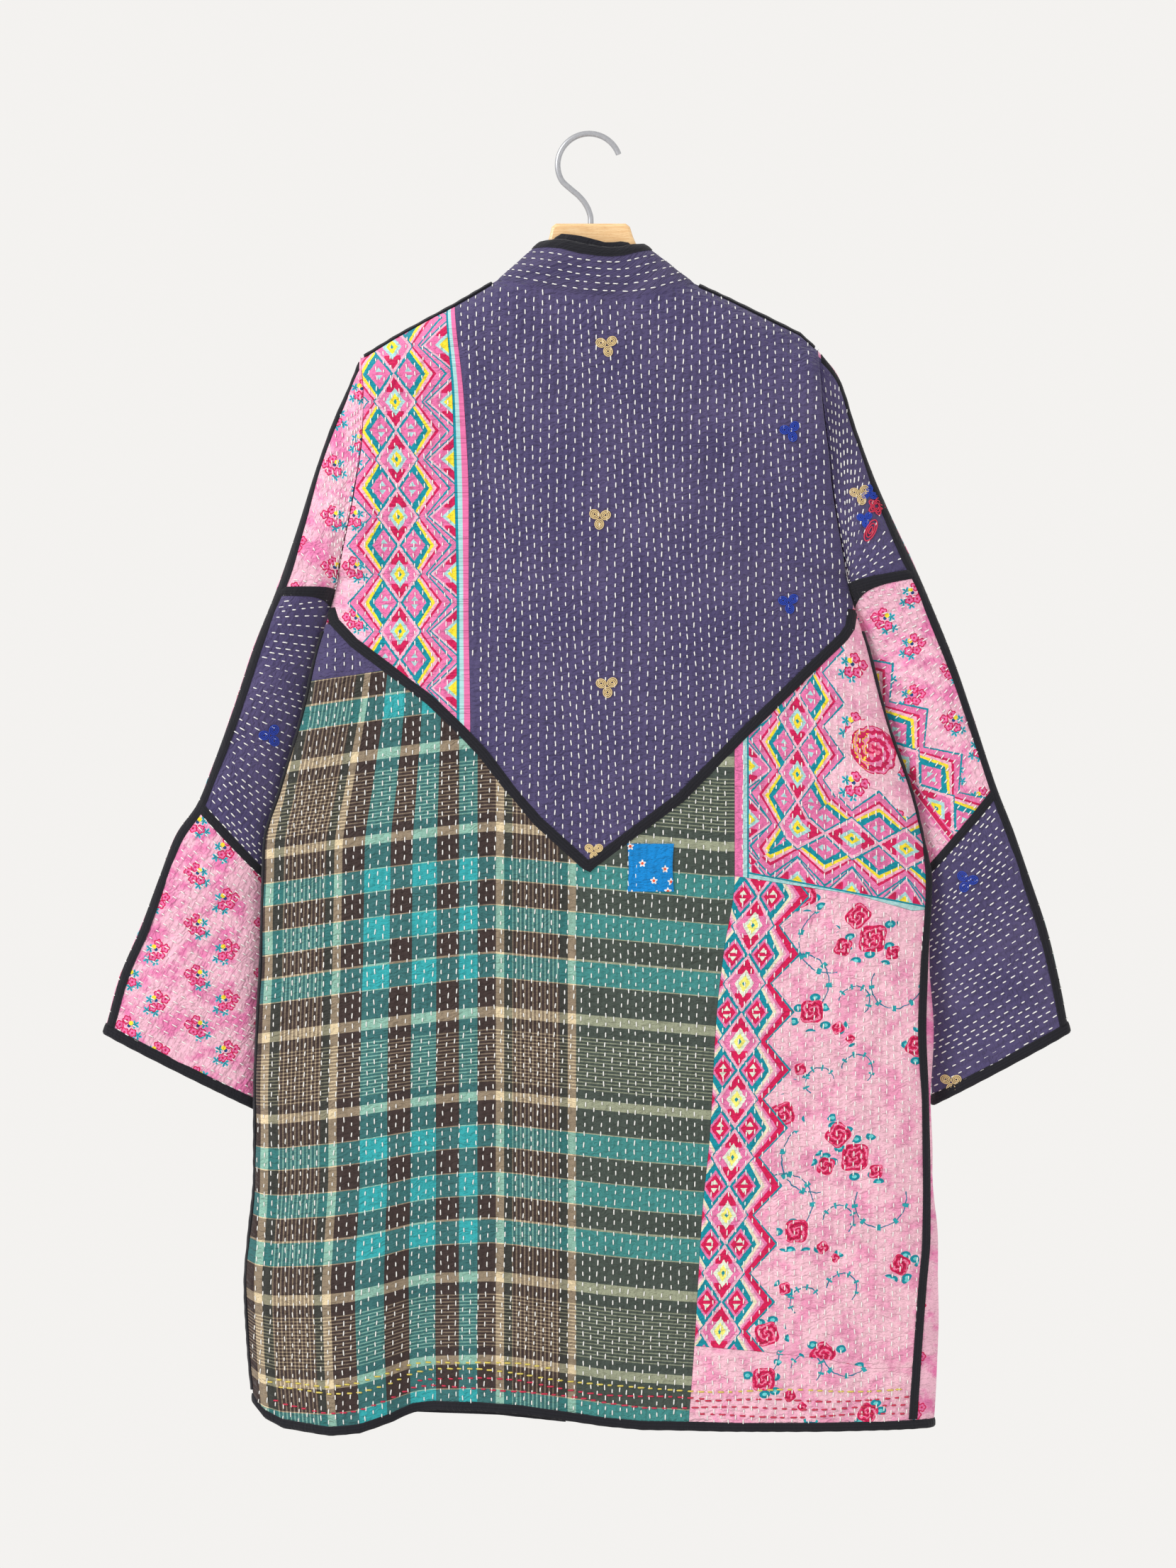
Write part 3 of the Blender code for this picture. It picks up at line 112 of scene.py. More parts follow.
YOKE_POINT = [
    Point(-218, -396), Point(-215, -411), Point(-198, -429), Point(-170, -450),
    Point(-149, -466), Point(-133, -478), Point(-107, -503), Point(-89, -522),
    Point(-66, -552), Point(-43, -579), Point(-1, -617), Point(77, -559),
    Point(125, -510), Point(185, -452), Point(214, -424.5), Point(220, -416),
    Point(224, -396),
]
PRINT_SEAM = [
    Point(-276, -655), Point(0, -652), Point(60, -640), Point(122, -625),
    Point(172, -633), Point(224, -641), Point(273, -655), Point(289, -654),
]
HEM_SEAM = [
    Point(-288, -1015), Point(0, -1012), Point(95, -1019), Point(151, -1024),
    Point(197, -1030), Point(237, -1039), Point(294, -1040),
]
HEM = [
    Point(-284, -1070), Point(-274, -1081.5), Point(-258, -1089), Point(-217, -1093),
    Point(-192, -1090.5), Point(-166, -1082.5), Point(-148, -1075), Point(-129, -1072),
    Point(-93, -1071), Point(-56, -1073), Point(-21, -1078.5), Point(13, -1084),
    Point(46, -1087.5), Point(114, -1089), Point(292, -1090.5),
]
CORNER_SEAM = [Point(-236, -461), Point(-196, -456), Point(-166, -451)]
CORNER_TOP = -413.0
FRONT_EDGE_LEFT = (-9, -20)
FRONT_EDGE_RIGHT = (19, 30)
FRONT_EDGE_HEIGHTS = (-188, -396, -650, -1025, -1091)
EDGE_CROWDING = 1.35
SETTLING_STEPS = 18
SETTLING_SHARE = 0.8

# Folds run from one place to another. The height of a trough is negative.
Fold = namedtuple("Fold", "x0 z0 x1 z1 width height")
FOLDS = [
    Fold(-205, -640, -222, -1100, 44, 13), Fold(-112, -700, -150, -1100, 26, -15),
    Fold(-40, -760, -60, -1100, 40, 6), Fold(60, -720, 70, -1100, 45, -4),
    Fold(190, -740, 215, -1100, 40, 5), Fold(-150, -230, -170, -400, 30, -4),
    Fold(150, -210, 165, -400, 30, -3),
]

Station = namedtuple("Station", "x z inner_z")
LEFT_SLEEVE = [
    Station(-193, -187.5, -372), Station(-202, -210, -374.5),
    Station(-215, -239, -377), Station(-229, -277.5, -379.5),
    Station(-247, -334, -382), Station(-265, -386, -384.5),
    Station(-283, -431, -440), Station(-299, -479, -505),
    Station(-315, -524, -570), Station(-331, -564, -630.5),
    Station(-349, -590, -655), Station(-364, -628, -690),
    Station(-380, -671, -730), Station(-396, -708, -775),
    Station(-410, -758, -826),
]
RIGHT_SLEEVE = [
    Station(193.5, -181, -371.3), Station(211, -205, -373),
    Station(224, -244, -374.5), Station(240, -287, -376),
    Station(259, -330, -377.5), Station(278, -370, -379),
    Station(293, -405, -435), Station(309, -445, -500),
    Station(325, -492, -565), Station(345, -552, -626),
    Station(358, -585, -655), Station(372, -625, -690),
    Station(386, -667, -730), Station(397, -711, -775),
    Station(406, -757, -820),
]
Tuck = namedtuple("Tuck", "z left right behind")
TUCKS = [
    Tuck(-365, 0, 0, 0), Tuck(-372, 0, 0, 0), Tuck(-384.5, 0, 0, 3),
    Tuck(-400, .8, .8, 9), Tuck(-412, 1.5, 1.5, 13), Tuck(-425, 2, 2, 15),
    Tuck(-450, 3, 3, 18), Tuck(-490, 5, 5, 19.5), Tuck(-630, 5, 5, 19.5),
    Tuck(-760, 5, 0, 19), Tuck(-830, 5, -3, 18),
]
SLEEVES = {"left": LEFT_SLEEVE, "right": RIGHT_SLEEVE}
SLEEVE_DEPTHS = (20, 18.5, 17, 15)
UPPER_SEAM = 5
LOWER_SEAM = 9
CUFF = 14
SEAM_FROM_TOP = 5.5

COLLAR_TOP = [
    Point(-48, -95), Point(-35, -95.5), Point(-24, -97), Point(-9, -101.4),
    Point(7, -103.7), Point(19, -104.2), Point(29, -103), Point(40, -99.5),
    Point(53, -96),
]
COLLAR_TOP_LEFT = -48
COLLAR_TOP_RIGHT = 53
COLLAR_TOP_DEPTH = (-25, 22)
COLLAR_FRONT_TOP = -146
COLLAR_FRONT_X = (-6, 16)
COLLAR_FRONT_POWER = 0.6
COLLAR_BACK_COUNT = 70
COLLAR_FRONT_COUNT = 22
INNER_EDGE_TOP = [
    Point(-38, -86.5), Point(-32, -83.7), Point(-21, -85), Point(-9, -86.7),
    Point(7, -89.7), Point(19, -92), Point(28, -91.5), Point(36, -90.3),
    Point(44, -91),
]

# The hook's wire

HOOK_RADIUS = 26.6
HOOK_WIRE = 2.45
HOOK_TURN = (20, 204)
HOOK_SWAN = [
    Point(-22.5, -38), Point(-15.5, -44.5), Point(-8.5, -50.5), Point(-3.2, -57),
    Point(-.2, -63), Point(1.4, -70), Point(1.4, -78), Point(1.4, -91),
]

# Cloth and stitches

CLOTH = 1.9
ROW_STEP = 6.6
STITCH_PITCH = 8.3
STITCH_LENGTH = 4.7
STITCH_WIDTH = 1.1
STITCH_HEIGHT = 0.45
SEAM_GAP = 0.12
SHARP_EDGE = math.radians(50)


def smooth_values(xs, ys, at):
    """The curve through the points, which never swings past them."""
    xs, ys = np.array(xs, float), np.array(ys, float)
    if xs[0] > xs[-1]:
        xs, ys = xs[::-1], ys[::-1]
    rise = np.diff(ys) / np.diff(xs)
    before, after = rise[:-1], rise[1:]
    total = np.where(before * after > 0, before + after, 1.0)
    inner = np.where(before * after > 0, 2 * before * after / total, 0.0)
    slopes = np.concatenate([[rise[0]], inner, [rise[-1]]])
    at = np.clip(at, xs[0], xs[-1])
    n = np.clip(np.searchsorted(xs, at, side="right"), 1, len(xs) - 1)
    step = xs[n] - xs[n - 1]
    t = (at - xs[n - 1]) / step
    return (
        ys[n - 1] * (1 + 2 * t) * (1 - t) ** 2
        + step * slopes[n - 1] * t * (1 - t) ** 2
        + ys[n] * t * t * (3 - 2 * t)
        + step * slopes[n] * t * t * (t - 1)
    )


HEIGHTS = np.arange(-1140.0, -60.0, 0.5)


def columns_of(table):
    """A table's columns as smooth curves, sampled at even heights."""
    zs = [row.z for row in table]
    names = [name for name in table[0]._fields if name != "z"]
    made = {}
    for name in names:
        made[name] = smooth_values(zs, [getattr(row, name) for row in table], HEIGHTS)
    return made


def at_height(column, z):
    return np.interp(z, HEIGHTS, column)


def edges_at(z):
    """The body's left and right edge at a height."""
    return at_height(EDGE["left"], z), at_height(EDGE["right"], z)


def eased(part):
    """A share from 0 to 1 that starts and ends gently."""
    return part * part * (3 - 2 * part)


EDGE, LINE, DEPTH, TUCK = (columns_of(t) for t in (EDGES, LINES, DEPTHS, TUCKS))
KEY_NAMES = ("strip_left", "strip_right", "neck_left", "middle", "neck_right", "prints")
START, STRIP_LEFT, STRIP_RIGHT, NECK_LEFT, MIDDLE, NECK_RIGHT, PRINTS, SEAM = range(8)


def along(points, x):
    return np.interp(x, [p.x for p in points], [p.z for p in points])


def across(x, z):
    """Share of the body's width, from 0 at its left edge to 1 at its right one."""
    left, right = edges_at(z)
    return (x - left) / (right - left)


def as_fractions(points):
    return sorted(Point(float(across(p.x, p.z)), p.z) for p in points)


YOKE_LINE, PRINT_LINE, HEM_SEAM_LINE, HEM_LINE, CORNER_LINE = (
    as_fractions(p) for p in (YOKE_POINT, PRINT_SEAM, HEM_SEAM, HEM, CORNER_SEAM)
)


def fold_height(x, z):
    total = np.zeros(np.broadcast(x, z).shape)
    for fold in FOLDS:
        part = (z - fold.z0) / (fold.z1 - fold.z0)
        ramp = eased(np.clip(part, 0, 1))
        centre = fold.x0 + (fold.x1 - fold.x0) * part
        total = total + fold.height * ramp * np.exp(-(((x - centre) / fold.width) ** 2))
    return total


def armhole_depth(z, top, bottom):
    part = np.clip((top - z) / (top - bottom), 0, 1)
    return ARMHOLE_DEPTH * 2 * np.sqrt(part * (1 - part))


def body_depth(x, z, side, on_front):
    left, right = edges_at(z)
    below = (along(SHOULDER_LINE, x) - z) * SHOULDER_SLOPE_COS
    part = np.clip(below / SHOULDER_ROUND, 0, 1)
    shoulder = np.sqrt(1 - (1 - part) ** 2)
    full = np.where(on_front, at_height(DEPTH["front"], z), at_height(DEPTH["back"], z))
    rounding = np.clip((SQUARE_ABOVE - z) / (SQUARE_ABOVE - ROUND_BELOW), 0, 1)
    depth = shoulder * full * side ** (.5 + .5 * rounding)
    for distance, sleeve in ((x - left, LEFT_SLEEVE), (right - x, RIGHT_SLEEVE)):
        fade = np.clip(1 - np.maximum(distance, 0) / ARMHOLE_FADE, 0, 1) ** 2
        depth = depth + armhole_depth(z, sleeve[0].z, sleeve[0].inner_z) * fade
    return depth + np.where(on_front, 0, fold_height(x, z) * side)


def body_at_turn(turn, z):
    """Points of the body. The turn is 0 at the left edge and pi at the right one; the
    fronts lie below 0 and above pi."""
    left, right = edges_at(z)
    x = left + (right - left) * (1 - np.cos(turn)) / 2
    on_front = (turn < -1e-9) | (turn > math.pi + 1e-9)
    depth = body_depth(x, z, np.abs(np.sin(turn)), on_front)
    return np.stack([x, np.where(on_front, depth, -depth), z + 0 * x], axis=-1)


def turn_of(fraction):
    return np.arccos(np.clip(1 - 2 * fraction, -1, 1))


def body_at(x, z, on_front=False):
    turn = turn_of(across(x, z))
    return body_at_turn(np.where(on_front, -np.maximum(turn, 1e-6), turn), z)


def unit(vectors):
    return vectors / np.maximum(np.linalg.norm(vectors, axis=-1, keepdims=True), 1e-9)


def body_normal(x, z, on_front=False):
    step = 0.8
    wide = body_at(x + step, z, on_front) - body_at(x - step, z, on_front)
    tall = body_at(x, z + step, on_front) - body_at(x, z - step, on_front)
    normal = unit(np.cross(wide, tall))
    return -normal if on_front else normal


def on_body(x, z, on_front=False):
    """Points of the body with their outward directions."""
    return body_at(x, z, on_front), body_normal(x, z, on_front)


def key_shares(z):
    """Where the lines that run down the back cross each height, from 0 at the left edge
    to 1 at the right one."""
    inner = [across(at_height(LINE[name], z), z) for name in KEY_NAMES]
    return [0 * z] + inner + [across(at_height(EDGE["seam"], z), z)]


def back_fraction(cols, z):
    """cols counts the lines that run down the back, with shares between them."""
    keys = key_shares(z)
    fraction = 0 * z
    for n in range(SEAM):
        part = np.clip(cols - n, 0, 1)
        if n == 0:
            part = part ** EDGE_CROWDING
        if n == SEAM - 1:
            part = 1 - (1 - part) ** EDGE_CROWDING
        fraction = fraction + (keys[n + 1] - keys[n]) * part
    return fraction


def back_lines(fraction, x, corner=False):
    """Heights of the five lines that cross the back."""
    in_neck = (x > COLLAR_SEAM[0].x) & (x < COLLAR_SEAM[-1].x)
    top = np.where(in_neck, along(COLLAR_SEAM, x), along(SHOULDER_LINE, x))
    yoke = along(YOKE_LINE, fraction)
    if corner:
        low = np.where(fraction <= CORNER_LINE[-1].x, along(CORNER_LINE, fraction), 0)
        yoke = np.minimum(yoke, low)
    return [
        top, yoke, along(PRINT_LINE, fraction),
        along(HEM_SEAM_LINE, fraction), along(HEM_LINE, fraction),
    ]


def row_height(rows, lines):
    """rows counts the lines that cross, with shares between them."""
    total = lines[0] + 0 * rows
    for n in range(len(lines) - 1):
        total = total + (lines[n + 1] - lines[n]) * np.clip(rows - n, 0, 1)
    return total


def back_grid(rows, cols, corner=False):
    """Turns and heights where the rows and columns of the back cross."""
    rows, cols = np.meshgrid(rows, cols, indexing="ij")
    z = np.where(rows < 1, -300.0, -800.0)
    for _ in range(SETTLING_STEPS):
        fraction = back_fraction(cols, z)
        left, right = edges_at(z)
        aim = row_height(rows, back_lines(fraction, left + (right - left) * fraction, corner))
        z = z + SETTLING_SHARE * (aim - z)
    return turn_of(back_fraction(cols, z)), z


def front_grid(rows, shares, on_right):
    """Turns and heights of a front. Its shares run from 0 at the side seam over 1 at
    the neck to 2 at its free edge."""
    rows, shares = np.meshgrid(rows, shares, indexing="ij")
    side = 7.0 if on_right else 0.0
    _, side_z = back_grid(rows[:, 0], np.array([side]), not on_right)
    side_z = side_z + 0 * shares
    edge = FRONT_EDGE_RIGHT if on_right else FRONT_EDGE_LEFT
    top = FRONT_EDGE_HEIGHTS[0]
    z = side_z.copy()
    neck_line = LINE["neck_right" if on_right else "neck_left"]
    for _ in range(SETTLING_STEPS):
        seam = turn_of(across(at_height(EDGE["seam"], z), z)) if on_right else 0 * z
        drop = np.clip((z - top) / (HEM[-1].z - top), 0, 1)
        neck = turn_of(across(at_height(neck_line, z), z))
        free = turn_of(across(edge[0] + (edge[1] - edge[0]) * drop, z))
        if on_right:
            neck, free = 2 * math.pi - neck, 2 * math.pi - free
        else:
            neck, free = -neck, -free
        to_neck, to_edge = np.clip(shares, 0, 1), np.clip(shares - 1, 0, 1)
        turn = seam + (neck - seam) * to_neck + (free - neck) * to_edge
        part = .7 * to_neck + .3 * to_edge
        left, right = edges_at(z)
        x = left + (right - left) * (1 - np.cos(turn)) / 2
        in_neck = (x > FRONT_NECK[0].x) & (x < FRONT_NECK[-1].x)
        high = np.where(in_neck, along(FRONT_NECK, x), along(SHOULDER_LINE, x))
        low = YOKE_POINT[0].z if on_right else CORNER_SEAM[0].z
        low = low + (FRONT_EDGE_HEIGHTS[1] - low) * part
        upper = high + (low - high) * np.clip(rows, 0, 1)
        lower = side_z + (row_height(rows, FRONT_EDGE_HEIGHTS) - side_z) * part
        z = z + SETTLING_SHARE * (np.where(rows <= 1, upper, lower) - z)
    return turn, z


def station_curve(stations, name, place):
    values = [getattr(s, name) for s in stations]
    return smooth_values(range(len(stations)), values, place)


def sleeve_at(stations, place, angle):
    """Points of a sleeve. The angle is 0 at its outer line, pi at its inner one."""
    on_right = stations is RIGHT_SLEEVE
    side = "right" if on_right else "left"
    inner_z = station_curve(stations, "inner_z", place)
    tuck = at_height(TUCK[side], inner_z)
    inner_x = at_height(EDGE[side], inner_z) + (-tuck if on_right else tuck)
    behind = at_height(TUCK["behind"], inner_z)
    depth = np.interp(place, (0, UPPER_SEAM, LOWER_SEAM, CUFF), SLEEVE_DEPTHS)
    outer_x = station_curve(stations, "x", place)
    outer_z = station_curve(stations, "z", place)
    part = (1 - np.cos(angle)) / 2
    x = outer_x + (inner_x - outer_x) * part
    z = outer_z + (inner_z - outer_z) * part
    near = np.maximum(1 - place / (UPPER_SEAM - 1), 0)
    top, low_z = stations[0], stations[0].inner_z
    low_x = at_height(EDGE[side], low_z)
    straight_x = top.x + (low_x - top.x) * part
    straight_z = top.z + (low_z - top.z) * part
    x = x + (at_height(EDGE[side], straight_z) - straight_x) * near
    y = -depth * np.sin(angle) + behind * part
    return np.stack([x + (ARMHOLE_GAP if on_right else -ARMHOLE_GAP), y, z], axis=-1)


def sleeve_seam_angle(stations, place):
    gap = sleeve_at(stations, place, 0.0) - sleeve_at(stations, place, math.pi)
    half = np.linalg.norm(gap, axis=-1) / 2
    return np.arccos(1 - np.minimum(SEAM_FROM_TOP / half, 1))


def sleeve_normal(stations, place, angle):
    along_it = sleeve_at(stations, np.minimum(place + .04, CUFF), angle)
    along_it = along_it - sleeve_at(stations, np.maximum(place - .04, 0), angle)
    round_it = sleeve_at(stations, place, angle + .01)
    round_it = round_it - sleeve_at(stations, place, angle - .01)
    sign = -1 if stations is RIGHT_SLEEVE else 1
    return unit(np.cross(along_it, round_it) * sign)


def on_sleeve(stations, place, angle):
    """Points of a sleeve with their outward directions."""
    return sleeve_at(stations, place, angle), sleeve_normal(stations, place, angle)


def collar_top(x, on_front, part):
    if on_front:
        on_right = x > (COLLAR_TOP_LEFT + COLLAR_TOP_RIGHT) / 2
        side = np.where(on_right, COLLAR_TOP_RIGHT, COLLAR_TOP_LEFT)
        edge = np.where(on_right, COLLAR_FRONT_X[1], COLLAR_FRONT_X[0])
        side_z = np.where(on_right, COLLAR_TOP[-1].z, COLLAR_TOP[0].z)
        drop = eased(part)
        angle = part ** COLLAR_FRONT_POWER * math.pi / 2
        top_x = side + (edge - side) * (1 - np.cos(angle))
        y = COLLAR_TOP_DEPTH[1] * np.sin(angle)
        return np.stack([top_x, y, side_z + (COLLAR_FRONT_TOP - side_z) * drop], axis=-1)
    share = (x - COLLAR_SEAM[0].x) / (COLLAR_SEAM[-1].x - COLLAR_SEAM[0].x)
    top_x = COLLAR_TOP_LEFT + (COLLAR_TOP_RIGHT - COLLAR_TOP_LEFT) * share
    y = COLLAR_TOP_DEPTH[0] * np.sqrt(np.clip(1 - (2 * share - 1) ** 2, 0, 1))
    return np.stack([top_x, y, along(COLLAR_TOP, top_x)], axis=-1)


def collar_lines():
    """The collar's seam and top, from the left front's free edge to the right one's."""
    row = np.array([0.0])
    steps = np.linspace(1, 0, COLLAR_FRONT_COUNT, endpoint=False)
    left = body_at_turn(*front_grid(row, 1 + steps, False))[0]
    neck = np.linspace(NECK_LEFT, NECK_RIGHT, COLLAR_BACK_COUNT)
    back = body_at_turn(*back_grid(row, neck))[0]
    right = body_at_turn(*front_grid(row, 1 + steps[::-1], True))[0]
    seam = np.concatenate([left, back, right])
    top = np.concatenate([
        collar_top(left[:, 0], True, steps),
        collar_top(back[:, 0], False, 0),
        collar_top(right[:, 0], True, steps[::-1]),
    ])
    return seam, top


# Meshes


def grid_normals(points, closed=False):
    """Outward directions of a grid, from the steps between its points."""
    if closed:
        wrapped = np.concatenate([points[:, -1:], points, points[:, :1]], axis=1)
        round_it = np.gradient(wrapped, axis=1)[:, 1:-1]
    else:
        round_it = np.gradient(points, axis=1)
    return unit(np.cross(np.gradient(points, axis=0), round_it))


def new_object(name, mesh, replaced=()):
    made = bpy.data.objects.new(name, mesh)
    bpy.context.scene.collection.objects.link(made)
    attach(made, "root")
    if replaced:
        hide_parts(*replaced)
    return made


def shell(name, points, normals, uvs, materials, thick=CLOTH, relief=None, closed=False,
          zones=None, replaced=()):
    """A closed wall of cloth on a grid of points in millimetres. uvs has one more
    column than a closed grid. zones picks a material for each column of faces."""
    rows, cols = points.shape[:2]
    lifted = points if relief is None else points + normals * relief[..., None]
    inner = points - normals * thick
    vertices = np.concatenate([lifted.reshape(-1, 3), inner.reshape(-1, 3)]) * MM
    count = rows * cols
    last = cols if closed else cols - 1
    r, c = np.meshgrid(np.arange(rows - 1), np.arange(last), indexing="ij")
    c2 = (c + 1) % cols
    quad = np.stack([r * cols + c, r * cols + c2, (r + 1) * cols + c2, (r + 1) * cols + c], -1)
    uv_index = np.stack([
        r * uvs.shape[1] + c, r * uvs.shape[1] + c + 1,
        (r + 1) * uvs.shape[1] + c + 1, (r + 1) * uvs.shape[1] + c,
    ], -1)
    quad, uv_index = quad.reshape(-1, 4), uv_index.reshape(-1, 4)
    zone = np.zeros(len(quad), int) if zones is None else np.tile(zones, rows - 1)
    faces = [quad, (quad + count)[:, ::-1]]
    face_uvs = [uv_index, uv_index[:, ::-1]]
    face_zones = [zone, zone]
    step = np.arange(last)
    for row, flip in ((0, True), (rows - 1, False)):
        a, b = row * cols + step, row * cols + (step + 1) % cols
        side = np.stack([a, a + count, b + count, b], -1)
        u = row * uvs.shape[1] + step
        side_uv = np.stack([u, u, u + 1, u + 1], -1)
        faces.append(side if flip else side[:, ::-1])
        face_uvs.append(side_uv if flip else side_uv[:, ::-1])
        face_zones.append(zone[:last])
    if not closed:
        step = np.arange(rows - 1)
        for col, flip in ((0, False), (cols - 1, True)):
            a, b = step * cols + col, (step + 1) * cols + col
            side = np.stack([a, a + count, b + count, b], -1)
            u = step * uvs.shape[1] + col
            side_uv = np.stack([u, u, u + uvs.shape[1], u + uvs.shape[1]], -1)
            faces.append(side if flip else side[:, ::-1])
            face_uvs.append(side_uv if flip else side_uv[:, ::-1])
            face_zones.append(np.full(rows - 1, zone[0 if col == 0 else last - 1]))
    faces, face_uvs = np.concatenate(faces), np.concatenate(face_uvs)
    mesh = bpy.data.meshes.new(name)
    mesh.from_pydata(vertices, [], faces.tolist())
    layer = mesh.uv_layers.new(name="cloth")
    layer.data.foreach_set("uv", uvs.reshape(-1, 2)[face_uvs.reshape(-1)].ravel())
    for material in materials:
        mesh.materials.append(material)
    mesh.polygons.foreach_set("material_index", np.concatenate(face_zones).astype(np.int32))
    turn_outwards(mesh)
    mesh.shade_smooth()
    mesh.set_sharp_from_angle(angle=SHARP_EDGE)
    return new_object(name, mesh, replaced)


def turn_outwards(mesh):
    """Flips a closed mesh whose faces point inwards."""
    mesh.calc_loop_triangles()
    corners = np.empty(len(mesh.loop_triangles) * 3, np.int32)
    mesh.loop_triangles.foreach_get("vertices", corners)
    places = np.empty(len(mesh.vertices) * 3)
    mesh.vertices.foreach_get("co", places)
    a, b, c = places.reshape(-1, 3)[corners.reshape(-1, 3)].transpose(1, 0, 2)
    if np.sum(np.einsum("ij,ij->i", a, np.cross(b, c))) < 0:
        mesh.flip_normals()


def row_step():
    """Distance between rows of stitches, as the panel gives it."""
    return round(bpy.context.scene.coat_sizes.row_step / MM, 4)


def stitch_length():
    return round(bpy.context.scene.coat_sizes.stitch_length / MM, 4)


def lengths_along(points):
    """Distance along each row of a grid."""
    steps = np.linalg.norm(np.diff(points, axis=1), axis=2)
    return np.concatenate([np.zeros((len(points), 1)), np.cumsum(steps, axis=1)], axis=1)


def length_to(line):
    """Distance along one line of points."""
    return lengths_along(line[None])[0]


def stitch_sizes(n, seed):
    """Uneven lengths of stitches."""
    return stitch_length() * (.75 + .5 * seeded(n, seed))


def ripple(u, v, height=0.7):
    """The soft unevenness of quilted cloth, from a few crossed waves."""
    return height * (
        .5 * np.sin(u / 9.5 + 1.9 * np.sin(v / 31))
        + .35 * np.sin(v / 12 + 1.3 * np.sin(u / 23) + u / 40)
        + .3 * np.sin((u + v) / 17 + np.sin(v / 47))
    )


def held_at_edges(relief, points, reach=5.0, closed=False):
    """Relief that dies out towards a panel's seams."""
    down = lengths_along(points.transpose(1, 0, 2)).T
    share = np.minimum(down, down[-1] - down) / reach
    if not closed:
        wide = lengths_along(points)
        share = np.minimum(share, np.minimum(wide, wide[:, -1:] - wide) / reach)
    share = np.clip(share, 0, 1)
    return relief * share - .35 * (1 - share)


def seeded(n, seed):
    """Repeatable uneven numbers from 0 to 1."""
    return np.modf(np.abs(np.sin(np.asarray(n) * 12.9898 + seed * 78.233) * 43758.5453))[0]


def stitches(name, places, normals, directions, material, sizes, width=STITCH_WIDTH):
    """Short raised threads that dip into the cloth at both ends."""
    if len(places) == 0:
        return
    directions = unit(directions - normals * np.sum(directions * normals, axis=-1)[:, None])
    sides = np.cross(normals, directions)
    half = sizes[:, None] / 2
    wide = width / 2
    corners = []
    for share in (-.62, .62):
        mid = places + directions * half * share
        corners.append(mid - sides * wide + normals * .02)
        corners.append(mid + normals * STITCH_HEIGHT)
        corners.append(mid + sides * wide + normals * .02)
    corners.append(places - directions * half - normals * STITCH_HEIGHT)
    corners.append(places + directions * half - normals * STITCH_HEIGHT)
    vertices = np.stack(corners, axis=1).reshape(-1, 3) * MM
    pattern = np.array([
        (0, 1, 4), (0, 4, 3), (1, 2, 5), (1, 5, 4), (0, 3, 5), (0, 5, 2),
        (6, 1, 0), (6, 2, 1), (6, 0, 2), (7, 3, 4), (7, 4, 5), (7, 5, 3),
    ])
    faces = (pattern[None] + np.arange(len(places))[:, None, None] * 8).reshape(-1, 3)
    mesh = bpy.data.meshes.new(name)
    mesh.from_pydata(vertices, [], faces.tolist())
    mesh.materials.append(material)
    turn_outwards(mesh)
    mesh.shade_smooth()
    new_object(name, mesh)


# Materials


def operation(name, swapped=False):
    """A method that adds one Math node, with its values in this order or swapped."""

    def apply(self, *others):
        values = (*others, self) if swapped else (self, *others)
        node = self.tree.nodes.new("ShaderNodeMath")
        node.operation = name
        for socket, value in zip(node.inputs, values):
            plug(self.tree, value, socket)
        return Signal(self.tree, node.outputs[0])

    return apply


class Signal:
    """A socket that takes part in sums, so that a pattern is written as a formula and
    becomes nodes."""

    def __init__(self, tree, socket):
        self.tree, self.socket = tree, socket

    __add__ = __radd__ = operation("ADD")
    __sub__, __rsub__ = operation("SUBTRACT"), operation("SUBTRACT", swapped=True)
    __mul__ = __rmul__ = operation("MULTIPLY")
    __truediv__ = operation("DIVIDE")
    size, sine, floor = operation("ABSOLUTE"), operation("SINE"), operation("FLOOR")
    least, power = operation("MINIMUM"), operation("POWER")
    below, above = operation("LESS_THAN"), operation("GREATER_THAN")
    heading, wrap_down = operation("ARCTAN2"), operation("WRAP")

    def wrap(self, low, high):
        return self.wrap_down(high, low)

    def band(self, low, high):
        return self.above(low) * self.below(high)


def plug(tree, value, socket):
    if isinstance(value, Signal):
        tree.links.new(value.socket, socket)
    else:
        socket.default_value = value


def length_of(x, y):
    return (x * x + y * y).power(.5)


def waves(signal):
    """Smooth waves from 0 to 1."""
    return signal.sine() * .5 + .5


def blend(tree, share, here, there):
    """A colour between two, as red, green and blue from 0 to 255 or a socket."""
    node = tree.nodes.new("ShaderNodeMix")
    node.data_type = "RGBA"
    node.clamp_factor = True
    plug(tree, share, node.inputs[0])
    for socket, value in ((node.inputs[6], here), (node.inputs[7], there)):
        plug(tree, value if isinstance(value, Signal) else shade(value), socket)
    return Signal(tree, node.outputs[2])


def shade(colour):
    return tuple(c / 255 for c in colour) + (1,)


def layers(tree, ground, *steps):
    """Colours laid over each other: each step is a mask and a colour."""
    for mask, colour in steps:
        ground = blend(tree, mask, ground, colour)
    return ground


def noise(tree, x, y, scale, detail=2.0, rough=.5):
    node = tree.nodes.new("ShaderNodeTexNoise")
    node.inputs["Scale"].default_value = scale
    node.inputs["Detail"].default_value = detail
    node.inputs["Roughness"].default_value = rough
    tree.links.new(vector(tree, x, y).socket, node.inputs["Vector"])
    return Signal(tree, node.outputs[0])


def vector(tree, x, y, z=0.0):
    node = tree.nodes.new("ShaderNodeCombineXYZ")
    for socket, value in zip(node.inputs, (x, y, z)):
        plug(tree, value, socket)
    return Signal(tree, node.outputs[0])


